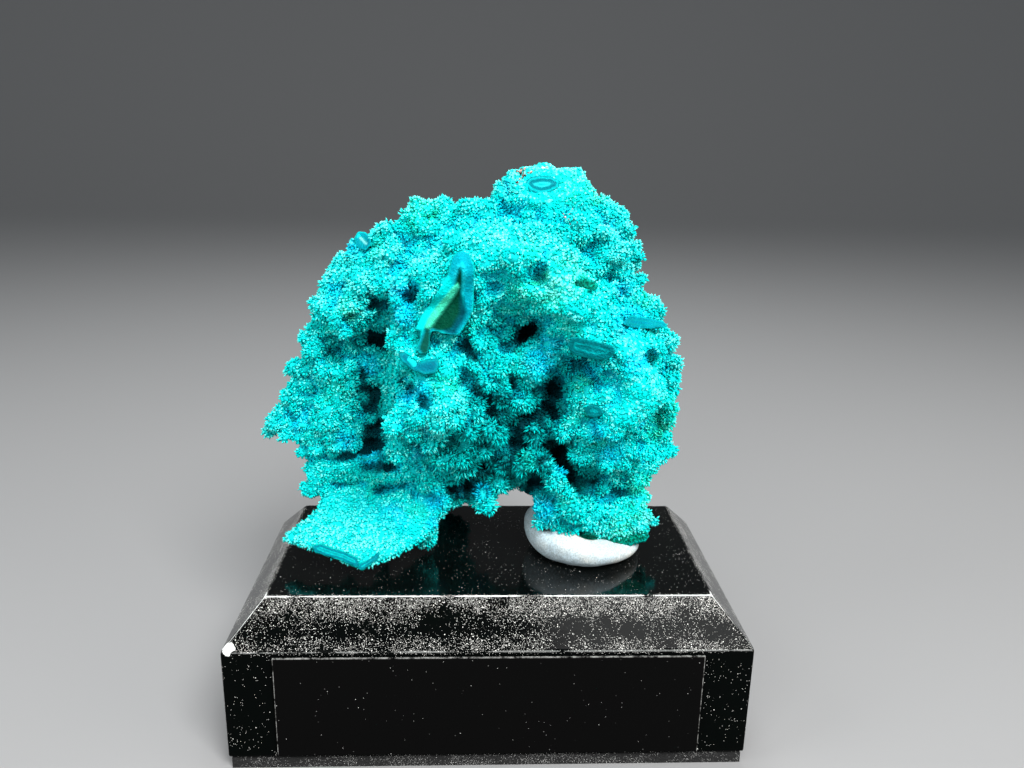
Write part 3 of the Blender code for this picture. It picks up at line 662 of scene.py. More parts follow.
# Where painted highlights turn the needles' tips nearly white, where painted shade darkens the growth as if in
# the shade of what stands round it, where less of that painted shade is laid as it lies open to the light after
# all, and where it is short and smooth: place to the right and height on the front plane, and radius, in
# millimetres.
PAINTED_HIGHLIGHTS = (
    # ridge
    (-2.6, 56.6, 1.0), (-1.0, 56.9, 1.0), (0.6, 57.3, 1.0), (2.1, 57.4, 1.0), (3.7, 57.2, 1.0), (5.3, 56.7, 1.0),
    (6.6, 56.0, 1.1), (7.9, 55.2, 1.0), (9.0, 54.2, 0.8), (-4.4, 54.6, 0.5), (-7.2, 54.6, 1.0), (-6.4, 55.3, 0.9),
    (5.8, 53.1, 0.8), (6.7, 52.4, 0.9), (7.7, 51.7, 0.8), (6.3, 51.4, 0.8), (5.1, 51.8, 0.8), (7.9, 53.1, 0.7),
    # upper left
    (-13.7, 56.5, 1.2), (-10.7, 54.9, 1.6), (-14.0, 52.1, 1.4), (-9.6, 51.8, 1.0), (-16.7, 52.6, 1.2),
    (-15.2, 49.5, 1.2),
    # lump under the blade, and the ring at the right
    (-6.8, 46.2, 0.7), (-5.9, 46.4, 0.7), (-5.0, 46.1, 0.7), (-4.1, 45.8, 0.7), (13.0, 51.5, 0.4), (13.2, 52.6, 0.4),
    (14.2, 52.8, 0.4), (14.8, 52.0, 0.4), (14.3, 51.0, 0.4), (13.5, 56.0, 1.2), (14.6, 53.9, 0.9), (12.0, 58.0, 1.2),
    # slab
    (-17.0, 22.5, 3.0), (-13.5, 22.6, 2.5), (-19.5, 23.8, 2.0), (-15.0, 24.5, 2.0), (-22.8, 23.4, 1.4),
    (-21.7, 22.6, 1.0), (-20.4, 21.2, 0.8), (-19.0, 20.2, 0.7), (-17.3, 19.2, 0.7), (-15.4, 18.5, 0.8),
    (-13.3, 19.2, 0.8), (-11.3, 20.2, 0.8), (-9.5, 20.8, 0.8), (-19.5, 26.2, 0.9), (-21.1, 25.2, 0.9),
    (-18.3, 22.1, 0.9), (-16.1, 21.2, 0.9), (-14.0, 20.7, 0.8),
    # crown and shoulder
    (8.1, 64.4, 0.8), (9.2, 63.8, 0.8), (10.1, 63.0, 0.8), (10.2, 62.0, 0.7), (0.9, 62.5, 0.8), (1.7, 63.7, 0.7),
    (3.7, 64.6, 0.7), (6.1, 64.6, 0.8), (10.8, 61.5, 0.6), (12.0, 61.3, 0.7), (13.1, 60.4, 0.7), (14.0, 59.0, 0.7),
    (14.9, 57.0, 0.7),
    # left edges
    (-18.5, 50.4, 0.9), (-19.5, 48.9, 0.8), (-15.5, 55.0, 0.9), (-14.7, 56.4, 0.9), (-13.4, 58.0, 0.9),
    (-11.8, 58.2, 0.8), (-9.2, 60.2, 0.8), (-8.0, 60.9, 0.8), (-6.2, 60.6, 0.7), (-24.5, 35.9, 0.9),
    (-23.0, 34.2, 0.8),
    # near mass
    (-5.1, 37.8, 1.2), (-4.1, 39.5, 1.0), (-6.8, 36.0, 1.0),
    # right lobe and base
    (13.3, 47.5, 0.5), (14.1, 46.7, 0.5), (14.9, 45.7, 0.5), (15.9, 44.6, 0.5), (16.8, 43.3, 0.5), (17.6, 42.0, 0.5),
    (18.2, 40.6, 0.5), (19.4, 45.9, 0.8), (20.4, 43.7, 0.8), (21.3, 41.4, 0.8), (16.6, 52.1, 0.8), (17.2, 50.9, 0.8),
    (12.6, 24.2, 1.2), (14.3, 23.7, 1.2), (16.1, 24.0, 1.2), (17.7, 25.2, 1.0), (18.2, 27.7, 0.9),
)
SHADED = (
    (-1.5, 41.0, 3.5), (2.0, 38.0, 4.0), (4.5, 34.5, 4.0), (-2.0, 34.0, 4.0), (0.5, 30.5, 4.0), (-4.5, 29.5, 3.0),
    (-0.5, 45.5, 2.5), (7.0, 39.5, 2.5), (9.5, 31.0, 3.0), (-12.4, 36.0, 2.5), (-13.2, 31.8, 3.5),
)
OPEN = ((-11.5, 26.5, 3.5), (-14.5, 26.5, 3.0), (-9.0, 24.5, 2.5))
SMOOTHER = ((8.8, 49.3, 3.4), (6.9, 52.6, 2.0), (14.6, 45.9, 1.5), (16.0, 40.0, 2.5), (4.8, 62.7, 2.6))

# A spot's level in its middle and how much of it is lost by the radius, before it is cut off at 0 and 1.
SPOT_LEVEL = 1.6
SPOT_LOSS = 1.1


def in_view(points: np.ndarray) -> np.ndarray:
    """Where points appear on the front plane, in millimetres: to the right and up."""
    lines = points - EYE
    reach = (FRONT - EYE[1]) / lines[:, 1]
    return (EYE[[0, 2]] + lines[:, [0, 2]] * reach[:, None]) / MM


@dataclass
class MineralSkin:
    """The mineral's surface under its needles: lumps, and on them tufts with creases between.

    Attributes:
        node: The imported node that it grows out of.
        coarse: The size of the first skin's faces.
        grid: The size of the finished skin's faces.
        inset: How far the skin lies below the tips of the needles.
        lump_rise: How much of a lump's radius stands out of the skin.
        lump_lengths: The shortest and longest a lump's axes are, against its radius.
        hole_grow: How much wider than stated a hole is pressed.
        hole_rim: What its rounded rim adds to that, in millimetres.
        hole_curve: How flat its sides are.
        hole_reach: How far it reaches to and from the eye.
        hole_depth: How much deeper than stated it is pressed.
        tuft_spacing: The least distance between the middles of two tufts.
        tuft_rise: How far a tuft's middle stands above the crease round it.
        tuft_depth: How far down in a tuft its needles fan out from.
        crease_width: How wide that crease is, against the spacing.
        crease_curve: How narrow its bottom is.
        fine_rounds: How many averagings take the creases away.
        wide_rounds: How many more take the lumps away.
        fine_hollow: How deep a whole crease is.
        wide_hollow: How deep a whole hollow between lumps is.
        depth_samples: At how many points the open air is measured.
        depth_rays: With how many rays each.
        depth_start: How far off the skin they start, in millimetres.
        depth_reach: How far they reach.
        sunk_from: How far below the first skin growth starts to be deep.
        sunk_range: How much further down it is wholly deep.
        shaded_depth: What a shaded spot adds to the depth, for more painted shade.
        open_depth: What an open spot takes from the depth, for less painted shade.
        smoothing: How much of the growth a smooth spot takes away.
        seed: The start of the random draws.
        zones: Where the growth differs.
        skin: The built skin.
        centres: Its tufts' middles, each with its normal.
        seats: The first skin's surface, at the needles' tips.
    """

    node: str = "chrysocolla"
    coarse: float = 0.50 * MM
    grid: float = 0.40 * MM
    inset: float = 0.52 * MM
    lump_rise: float = 0.55
    lump_lengths: tuple[float, float] = (0.85, 1.15)
    hole_grow: float = 1.35
    hole_rim: float = 0.3
    hole_curve: float = 0.9
    hole_reach: float = 4.5 * MM
    hole_depth: float = 1.3
    tuft_spacing: float = 1.80 * MM
    tuft_rise: float = 0.80 * MM
    tuft_depth: float = 1.2 * MM
    crease_width: float = 0.9
    crease_curve: float = 1.5
    fine_rounds: int = 10
    wide_rounds: int = 80
    fine_hollow: float = 0.35 * MM
    wide_hollow: float = 1.0 * MM
    depth_samples: int = 9000
    depth_rays: int = 28
    depth_start: float = 0.3
    depth_reach: float = 9.0 * MM
    sunk_from: float = 2.2 * MM
    sunk_range: float = 1.6 * MM
    shaded_depth: float = 0.30
    open_depth: float = 0.45
    smoothing: float = 0.55
    seed: int = 5
    zones: tuple[Zone, ...] = (
        Zone((-14, -4, 24), 11, 0.12, 0.80),
        Zone((15, -10, 41), 7, 0.35, 0.65),
        Zone((14, -9, 46), 3.2, 0.25, 0.40),
        Zone((6, 1, 64), 7, 0.40, 0.50),
        Zone((2, -13, 56), 8, 0.50, 0.65),
        Zone((-7, -12, 45), 7, 0.70, 0.75),
        Zone((9, -3, 26), 8, 1.00, 1.30),
        Zone((0, -8, 34), 10, 1.30, 1.90),
        Zone((-17, -1, 40), 9, 1.20, 1.05),
    )
    skin: Object = field(init=False)
    centres: list = field(init=False)
    seats: BVHTree = field(init=False)

    def build(self) -> Object:
        """Grow the skin and remember its tufts.

        Returns:
            The skin, with a "hollow" attribute that is high in hollows and low on what stands out, and a "deep"
            attribute that is high where other growth closes it in; the finishes lay painted shade by both.
        """
        self.skin = copy_of_node(self.node, "mineral_skin")
        self.remesh(self.coarse, 5)
        mesh = self.skin.data
        self.seats = surface_of(self.skin)
        points = points_of(mesh)
        inset = self.inset * self.zone_share(points, Quality.NEEDLES)
        set_points(mesh, points - normals_of(mesh) * inset[:, None])
        self.add_lumps()
        self.remesh(self.grid, 3)
        self.sink_holes()
        self.remesh(self.grid, 2)
        self.centres = self.tuft_centres(points_of(mesh), normals_of(mesh))
        self.raise_tufts(mesh)
        self.mark_hollows(mesh)
        self.mark_depths(mesh)
        return smooth_shaded(self.skin)

    def remesh(self, size: float, softening: int) -> None:
        """Give the skin even faces and soften it a little."""
        even_out(self.skin, size, softening)
        apply_modifiers(self.skin)

    def add_lumps(self) -> None:
        """Set the round lumps on the skin, none of them quite a ball."""
        draw = np.random.default_rng(self.seed)
        places, sizes = [], []
        for x, z, radius in LUMPS:
            seat = Seat.on(self.seats, x, z)
            if seat is None:
                continue
            size = radius * seat.scale * MM
            places.append(seat.at + seat.line * (self.inset + size * (1 - self.lump_rise)))
            sizes.append(size * draw.uniform(*self.lump_lengths, 3))
        lumps = Model.ball().copies("lumps", np.array(places), round_frames(np.array(sizes), draw))
        take(lumps)
        self.skin.select_set(True)
        bpy.context.view_layer.objects.active = self.skin
        bpy.ops.object.join()

    def sink_holes(self) -> None:
        """Press the holes and slits into the skin along the line of sight."""
        mesh = self.skin.data
        tree = surface_of(self.skin)
        points = points_of(mesh)
        seen = in_view(points)
        lines = unit(points - EYE)
        away = np.linalg.norm(points - EYE, axis=1)
        push = np.zeros(len(points))
        for x, z, wide, high, turn, depth in HOLES:
            seat = Seat.on(tree, x, z)
            if seat is None:
                continue
            near = np.linalg.norm(seat.at - EYE)
            across, up = seen[:, 0] - x, seen[:, 1] - z
            turned = radians(turn)
            first = (across * cos(turned) + up * sin(turned)) / (wide * self.hole_grow + self.hole_rim)
            second = (up * cos(turned) - across * sin(turned)) / (high * self.hole_grow + self.hole_rim)
            share = np.clip(1 - (first ** 2 + second ** 2), 0, 1) ** self.hole_curve
            share[np.abs(away - near) > self.hole_reach] = 0
            push = np.maximum(push, share * depth * self.hole_depth * MM)
        set_points(mesh, points + lines * push[:, None])

    def zone_share(self, points: np.ndarray, quality: Quality) -> np.ndarray:
        """How strongly one quality of growth holds at each point.

        Args:
            points: One row for each point.
            quality: The quality.

        Returns:
            One factor for each point, 1 outside every zone and smooth spot.
        """
        share = np.ones(len(points))
        for zone in self.zones:
            away = np.linalg.norm(points - np.array(zone.at) * MM, axis=1) / (zone.reach * MM)
            inside = np.clip(2.0 * (1 - away), 0, 1)
            share += inside * (getattr(zone, quality.value) - share)
        return share * (1 - self.smoothing * spot_share(points, SMOOTHER))

    def tuft_centres(self, points: np.ndarray, normals: np.ndarray) -> list:
        """Pick the middles of the tufts, evenly spread over the skin."""
        order = np.random.default_rng(self.seed).permutation(len(points))
        cell = self.tuft_spacing
        taken: dict[tuple, list] = {}
        centres = []
        for index in order:
            point = points[index]
            key = tuple((point // cell).astype(int))
            near = [other for dx in (-1, 0, 1) for dy in (-1, 0, 1) for dz in (-1, 0, 1)
                    for other in taken.get((key[0] + dx, key[1] + dy, key[2] + dz), ())]
            if all(np.sum((point - other) ** 2) > cell * cell for other in near):
                taken.setdefault(key, []).append(point)
                centres.append((point, normals[index]))
        LOG.info("%d tufts", len(centres))
        return centres

    def raise_tufts(self, mesh: Mesh) -> None:
        """Sink the skin in the creases between tufts."""
        points = points_of(mesh)
        normals = normals_of(mesh)
        tree = tree_of([centre for centre, _ in self.centres])
        near = np.array([[found[2] for found in tree.find_n(point, 2)] for point in points])
        crease = np.clip(1 - (near[:, 1] - near[:, 0]) / (self.crease_width * self.tuft_spacing), 0, 1)
        sink = self.tuft_rise * crease ** self.crease_curve * self.zone_share(points, Quality.TUFTS)
        set_points(mesh, points - normals * sink[:, None])

    def mark_hollows(self, mesh: Mesh) -> None:
        """Store how deep each point lies against the smoothed shape round it."""
        points, normals, edges = points_of(mesh), normals_of(mesh), edges_of(mesh)
        near = smoothed(points, edges, self.fine_rounds)
        wide = smoothed(near, edges, self.wide_rounds)
        depth = np.sum((near - points) * normals, axis=1) / self.fine_hollow
        depth += np.sum((wide - near) * normals, axis=1) / self.wide_hollow
        store(mesh, "hollow", np.clip(0.5 + 0.5 * depth, 0, 1))

    def mark_depths(self, mesh: Mesh) -> None:
        """Store how much of the open air round each point other growth takes up, for painted shade."""
        tree = surface_of(self.skin)
        points, normals = points_of(mesh), normals_of(mesh)
        draw = np.random.default_rng(self.seed)
        picked = draw.choice(len(points), self.depth_samples, replace=False)
        closed = np.zeros(len(picked))
        for row, index in enumerate(picked):
            start = Vector(points[index] + normals[index] * self.depth_start * MM)
            ways = unit(unit(draw.normal(size=(self.depth_rays, 3))) + normals[index])
            met = [tree.ray_cast(start, Vector(way), self.depth_reach)[3] for way in ways]
            closed[row] = np.mean([0.0 if away is None else 1 - away / self.depth_reach for away in met])
        deep = nearest_mean(closed, points[picked], points)
        sunk = np.array([self.seats.find_nearest(Vector(point))[3] for point in points])
        deep = np.maximum(deep, np.clip((sunk - self.sunk_from) / self.sunk_range, 0, 1))
        # Painted shade: the shaded spots add to the depth and the open spots take from it.
        shaded, lit = spot_share(points, SHADED), spot_share(points, OPEN)
        deep = np.clip(deep + self.shaded_depth * shaded - self.open_depth * lit, 0, 1)
        LOG.info("depth: %.2f at the middle, %.2f at most", np.median(deep), deep.max())
        store(mesh, "deep", deep)


def nearest_mean(values: np.ndarray, known: np.ndarray, wanted: np.ndarray) -> np.ndarray:
    """Carry values from known points to wanted ones, as the mean of the three nearest."""
    tree = tree_of(known)
    near = np.array([[found[1] for found in tree.find_n(point, 3)] for point in wanted])
    return values[near].mean(axis=1)


def spot_share(points: np.ndarray, spots: Sequence[tuple]) -> np.ndarray:
    """How far each point lies inside any of the round spots of the front plane, from 0 to 1."""
    seen = in_view(points)
    share = np.zeros(len(points))
    for x, z, radius in spots:
        away = np.hypot(seen[:, 0] - x, seen[:, 1] - z) / radius
        share = np.maximum(share, np.clip(SPOT_LEVEL - SPOT_LOSS * away, 0, 1))
    return share * (points[:, 1] < FRONT_END)


@dataclass
class Needles:
    """The velvet of crystal needles that stands on the skin.

    Attributes:
        count: How many needles there are in all.
        clump: How many of them share a clump.
        clump_reach: How far a clump reaches round its middle.
        clump_spread: How far the needles at a clump's edge lean out of it.
        clump_height: The length in a clump's middle, and what is lost of it at the edge.
        tone_shares: The clump's share of a needle's brightness, and its own.
        sectors: How many pieces they are shared between, side by side round the specimen.
        length: A needle's length.
        lengths: The shortest and longest, against that.
        deep_loss: What is lost of the length in the deepest hollows.
        width: A needle's width.
        widths: The narrowest and widest, against that.
        rooted: How far its root reaches into the skin.
        lean: How far needles lean at random.
        fan: How far they fan out from their tuft's heart.
        seed: The start of the random draws.
    """

    count: int = 160_000
    clump: int = 3
    clump_reach: float = 0.25 * MM
    clump_spread: float = 0.45
    clump_height: tuple[float, float] = (1.12, 0.4)
    tone_shares: tuple[float, float] = (0.65, 0.35)
    sectors: int = 5
    length: float = 0.52 * MM
    lengths: tuple[float, float] = (0.7, 1.2)
    deep_loss: float = 0.5
    width: float = 0.27 * MM
    widths: tuple[float, float] = (0.75, 1.3)
    rooted: float = 0.12 * MM
    lean: float = 0.25
    fan: float = 0.35
    seed: int = 12

    def build(self, growth: MineralSkin, bare: Iterable["BandedFace"]) -> list[Object]:
        """Grow all needles.

        Args:
            growth: The skin that they stand on.
            bare: The broken faces, on which none grow.

        Returns:
            The pieces. Each has a "growth" attribute, with how near the tip, the tone and the hollow in its
            channels, and a second attribute, with how blue, how green, how deep and how strong the painted
            highlight on the tip is.
        """
        draw = np.random.default_rng(self.seed)
        roots, normals, hollow, deep = self.roots(growth.skin.data, draw)
        keep = np.ones(len(roots), dtype=bool)
        for face in bare:
            keep &= ~face.covers(roots)
        roots, normals, hollow, deep = roots[keep], normals[keep], hollow[keep], deep[keep]
        aside, tone = self.clumps(roots, draw)
        ways = unit(self.ways(growth, roots, normals, draw) + aside * self.clump_spread)
        lengths = self.length * draw.uniform(*self.lengths, len(roots)) * growth.zone_share(roots, Quality.NEEDLES)
        whole, lost = self.clump_height
        lengths *= whole - lost * np.clip(np.linalg.norm(aside, axis=1), 0, 1)
        lengths *= 1 - self.deep_loss * np.clip(2 * deep - 1, 0, 1)
        angle = np.arctan2(roots[:, 1], roots[:, 0])
        order = np.argsort(angle, kind="stable")
        return [self.piece(f"needles_{number + 1}", roots[part], ways[part], lengths[part],
                           (tone[part], hollow[part], deep[part]), draw)
                for number, part in enumerate(np.array_split(order, self.sectors))]

    def clumps(self, roots: np.ndarray, draw: Generator) -> tuple[np.ndarray, np.ndarray]:
        """Gather the needles into small clumps.

        Returns:
            How far each needle stands aside of its clump's middle, against the reach, and its brightness, which it
            shares mostly with its clump.
        """
        middles = draw.choice(len(roots), len(roots) // self.clump, replace=False)
        tree = tree_of(roots[middles])
        nearest = np.array([tree.find(root)[1] for root in roots])
        shared, own = self.tone_shares
        tone = shared * draw.random(len(middles))[nearest] + own * draw.random(len(roots))
        return (roots - roots[middles][nearest]) / self.clump_reach, tone

    def roots(self, mesh: Mesh, draw: Generator) -> tuple:
        """Scatter the needles' roots evenly over the skin.

        Returns:
            The roots, with the skin's normals, its "hollow" and its "deep" there.
        """
        mesh.calc_loop_triangles()
        corners = np.empty(len(mesh.loop_triangles) * 3, dtype=np.int64)
        mesh.loop_triangles.foreach_get("vertices", corners)
        corners = corners.reshape(-1, 3)
        points, normals = points_of(mesh), normals_of(mesh)
        hollow, deep = stored(mesh, "hollow"), stored(mesh, "deep")
        a, b, c = (points[corners[:, side]] for side in range(3))
        area = np.linalg.norm(np.cross(b - a, c - a), axis=1)
        chosen = draw.choice(len(corners), self.count, p=area / area.sum())
        first, second = draw.random(self.count), draw.random(self.count)
        fold = first + second > 1
        first[fold], second[fold] = 1 - first[fold], 1 - second[fold]
        share = np.stack([1 - first - second, first, second], axis=1)[:, :, None]
        pick = corners[chosen]
        LOG.info("skin: %d triangles, %.0f square millimetres", len(corners), area.sum() / 2 / MM / MM)
        return ((points[pick] * share).sum(1), unit((normals[pick] * share).sum(1)),
                (hollow[pick] * share[:, :, 0]).sum(1), (deep[pick] * share[:, :, 0]).sum(1))

    def ways(self, growth: MineralSkin, roots: np.ndarray, normals: np.ndarray, draw: Generator) -> np.ndarray:
        """Point each needle out of its tuft's middle, with some scatter."""
        hearts = np.array([centre - normal * growth.tuft_depth for centre, normal in growth.centres])
        tree = tree_of([centre for centre, _ in growth.centres])
        nearest = np.array([tree.find(root)[1] for root in roots])
        out = unit(roots - hearts[nearest])
        return unit(normals * (1 - self.fan) + out * self.fan + draw.normal(0, self.lean, roots.shape))

    def piece(self, name: str, roots: np.ndarray, ways: np.ndarray, lengths: np.ndarray,
              marks: tuple[np.ndarray, ...], draw: Generator) -> Object:
        """Copy one modelled needle to every root of a sector.

        Args:
            name: The piece's name.
            roots: The needles' roots.
            ways: The ways that they point.
            lengths: Their lengths.
            marks: Their tones, hollows and depths.
            draw: The random draws.
        """
        model = Model.needle()
        width = (self.width * draw.uniform(*self.widths, len(roots)) * (self.length / lengths) ** 0.5)[:, None]
        side = unit(np.cross(ways, unit(draw.normal(size=roots.shape))))
        long = ways * (lengths + self.rooted)[:, None]
        frames = np.stack([side * width, np.cross(ways, side) * width, long], axis=1)
        piece = model.copies(name, roots - ways * self.rooted, frames)
        size = len(model.points)
        tones, hollows, depths = (mark[:, None] for mark in marks)
        # The spots of painted highlight are stored with the blue and green tints.
        blue, green, pale = (spot_share(roots, spots)[:, None] for spots in (BLUER, GREENER, PAINTED_HIGHLIGHTS))
        for label, channels in (("growth", (model.points[None, :, 2], tones, hollows, 1.0)),
                                ("tint_and_painted_light", (blue, green, depths, pale))):
            values = np.empty((len(roots), size, 4), dtype=np.float32)
            for channel, value in enumerate(channels):
                values[:, :, channel] = value
            store(piece.data, label, values)
        return piece


@dataclass(frozen=True)
class BandFinish:
    """Coloured bands that run from the rim of a broken face to its middle.

    Attributes:
        name: The material's name.
        stops: Each band's place from 0 at the rim to 1 in the middle, with its colour.
        roughness: How dull the face is.
        grain: How strongly the face glitters unevenly.
        value: How bright all the bands are.
        wander_size: How wide the bends of the bands are.
        wander: How far the bands bend, against their whole run.
        grain_size: How wide a grain is.
        relief: How high the grains stand.
    """

    name: str
    stops: tuple[tuple[float, Colour], ...]
    roughness: float = 0.35
    grain: float = 0.3
    value: float = 0.58
    wander_size: float = 0.9 * MM
    wander: float = 0.28
    grain_size: float = 0.22 * MM
    relief: float = 0.15 * MM

    def material(self) -> Material:
        """Make the material."""
        material, graph, shader = new_material(self.name, self.roughness, Specular_IOR_Level=0.02)
        place = graph.place()
        wander = graph.times(graph.minus(graph.noise(place, self.wander_size, 3.0), 0.5), self.wander)
        band = graph.math("ADD", graph.attribute("band"), wander, clamp=True)
        ramp = graph.node("ShaderNodeValToRGB")
        graph.put(ramp.inputs["Fac"], band)
        marks = ramp.color_ramp.elements
        while len(marks) < len(self.stops):
            marks.new(0.5)
        for mark, (stop, colour) in zip(marks, self.stops):
            mark.position = stop
            mark.color = colour
        grains = graph.between(graph.noise(place, self.grain_size, 2.0, 0.7), 0.35, 0.75)
        glitter = graph.plus(graph.times(grains, 2 * self.grain * self.value), (1 - self.grain) * self.value)
        paint = graph.node("ShaderNodeAttribute", attribute_name="paint")
        colour = graph.blend(paint.outputs["Alpha"], ramp.outputs["Color"], (0.0, 0.0, 0.0, 1.0))
        colour = graph.blend(1.0, colour, paint.outputs["Color"], "ADD")
        graph.put(shader.inputs["Base Color"], graph.dimmed(colour, glitter))
        graph.bump(shader, grains, self.relief, 0.5)
        return material


def from_outline(seen: np.ndarray, outline: Sequence[tuple[float, float]]) -> np.ndarray:
    """How far points of the front plane lie inside an outline: less than 0 outside it.

    Args:
        seen: The points' places to the right and up, in millimetres.
        outline: The outline's corners.

    Returns:
        Each point's distance from the outline, in millimetres.
    """
    inside = np.zeros(len(seen), dtype=bool)
    away = np.full(len(seen), np.inf)
    for start, end in zip(outline, (*outline[1:], outline[0])):
        first, side = np.array(start), np.array(end) - np.array(start)
        if side[1]:
            crosses = (start[1] > seen[:, 1]) != (end[1] > seen[:, 1])
            inside ^= crosses & (seen[:, 0] < side[0] * (seen[:, 1] - start[1]) / side[1] + start[0])
        along = np.clip((seen - first) @ side / max(side @ side, 1e-9), 0, 1)
        away = np.minimum(away, np.linalg.norm(seen - first - along[:, None] * side, axis=1))
    return np.where(inside, away, -away)


@dataclass(frozen=True)
class Inlay:
    """A patch of another colour inside a broken face.

    Attributes:
        outline: Its corners on the front plane, in millimetres.
        colour: Its colour.
        rise: How far it stands out of the face, in millimetres: less than 0 where it is sunk.
        soft: How wide its fading edge is, in millimetres.
    """

    outline: tuple[tuple[float, float], ...]
    colour: Colour
    rise: float = 0.0
    soft: float = 0.3


@dataclass(frozen=True)
class BandedFace:
    """A place where the growth is broken off and its bands show.

    Attributes:
        name: The piece's name.
        outline: Its corners on the front plane, in millimetres.
        finish: Its bands.
        lift: How far it stands out of the skin's outermost growth, in millimetres.
        run: How wide the whole run of bands is from the rim to the middle, in millimetres.
        bulge: How far its middle stands out beyond its rim, in millimetres.
        seat: Where its flat meets the growth, on the front plane, or None for its own middle.
        facing: The way that it looks, or None for the way that the growth behind it does.
        conform: How far it follows the growth behind it, from 0 for flat to 1.
        inlays: Patches of other colours, each laid over those before it.
        thick: How far it reaches back into the growth, in millimetres.
        grid: The size of its faces, in millimetres.
        margin: How far round it the growth stays bare, in millimetres.
        uneven: How uneven it is, in millimetres.
        uneven_size: How wide its uneven places are, in millimetres.
        easing: How many averagings ease it onto the growth behind it.
    """

    name: str
    outline: tuple[tuple[float, float], ...]
    finish: BandFinish
    lift: float = 0.25
    run: float = 0.8
    bulge: float = 0.0
    seat: Optional[tuple[float, float]] = None
    facing: Optional[tuple[float, float, float]] = None
    conform: float = 0.5
    inlays: tuple[Inlay, ...] = ()
    thick: float = 1.8
    grid: float = 0.13
    margin: float = 0.0
    uneven: float = 0.22
    uneven_size: float = 0.8
    easing: int = 12

    def covers(self, points: np.ndarray) -> np.ndarray:
        """Which points lie behind the outline or close round it."""
        return (from_outline(in_view(points), self.outline) > -self.margin) & (points[:, 1] < FRONT_END)

    def build(self, growth: MineralSkin) -> Object:
        """Model the face and lay it on the growth.

        Returns:
            The piece, with a "band" attribute, 0 at the rim and 1 in the middle, and the inlays' "paint".
        """
        met = [seat for seat in (Seat.on(growth.seats, x, z) for x, z in self.outline) if seat is not None]
        middle = self.seat or tuple(np.mean(np.array(self.outline), axis=0))
        centre = Seat.on(growth.seats, *middle) or met[0]
        facing = unit(np.array([self.facing if self.facing else self.fitted(met, centre)], dtype=float))[0]
        anchor = centre.at + facing * self.lift * MM
        piece = self.plate(anchor, facing, centre.line)
        mesh = piece.data
        points = points_of(mesh)
        band = np.clip(from_outline(in_view(points), self.outline) / self.run, 0, 1)
        lines = unit(points - EYE)
        flat = (anchor - EYE) @ facing / (lines @ facing)
        hits = [growth.seats.ray_cast(Vector(EYE), Vector(line))[3] for line in lines]
        skin = np.array([level if hit is None else hit for hit, level in zip(hits, flat)]) - self.lift * MM
        wanted = np.minimum(flat, flat + (skin - flat) * self.conform)
        shift = np.where(wanted - skin > 0, skin, wanted) - flat
        shift = smoothed(np.repeat(shift[:, None], 3, axis=1), edges_of(mesh), self.easing)[:, :1]
        rise, paint = self.painted(in_view(points))
        points += lines * shift + facing * ((band * self.bulge + rise) * MM)[:, None]
        set_points(mesh, points)
        store(mesh, "band", band)
        store(mesh, "paint", paint)
        return smooth_shaded(piece)

    def painted(self, seen: np.ndarray) -> tuple[np.ndarray, np.ndarray]:
        """The inlays' rise in millimetres, and their colours times their shares with the share itself."""
        rise = np.zeros(len(seen))
        paint = np.zeros((len(seen), 4), dtype=np.float32)
        for inlay in self.inlays:
            share = np.clip(0.5 + from_outline(seen, inlay.outline) / inlay.soft, 0, 1)
            rise += (inlay.rise - rise) * share
            paint += (np.array(inlay.colour, dtype=np.float32) - paint) * share[:, None].astype(np.float32)
        return rise, paint

    def fitted(self, met: Sequence[Seat], centre: Seat) -> np.ndarray:
        """Half way between the eye and the flat that passes nearest to the growth behind the outline."""
        spread = np.array([seat.at for seat in met])
        flat = np.linalg.svd(spread - spread.mean(axis=0))[2][-1]
        flat = flat * -np.sign(np.dot(flat, centre.line))
        return flat - centre.line

    def plate(self, anchor: np.ndarray, facing: np.ndarray, back: np.ndarray) -> Object:
        """Model the flat plate: the filled outline, thickened backwards and given even faces.

        Args:
            anchor: A point of its front.
            facing: The way that its front looks.
            back: The way that it is thickened.
        """
        corners = []
        for x, z in self.outline:
            line, _ = sight(x, z)
            corners.append(EYE + line * np.dot(anchor - EYE, facing) / np.dot(line, facing))
        deselect_all()
        bpy.ops.mesh.primitive_circle_add(vertices=len(corners), radius=1 * MM, fill_type="NGON")
        piece = bpy.context.active_object
        piece.name = self.name
        set_points(piece.data, np.array(corners))
        bpy.ops.object.mode_set(mode="EDIT")
        bpy.ops.mesh.select_all(action="SELECT")
        bpy.ops.mesh.extrude_region_move(
            TRANSFORM_OT_translate={"value": tuple(back * self.thick * MM), "orient_type": "GLOBAL"})
        bpy.ops.mesh.select_all(action="SELECT")
        bpy.ops.mesh.normals_make_consistent(inside=False)
        bpy.ops.object.mode_set(mode="OBJECT")
        even_out(piece, self.grid * MM, 3)
        roughen(piece, "uneven_break", self.uneven_size * MM, self.uneven * MM)
        apply_modifiers(piece)
        return settle(piece)


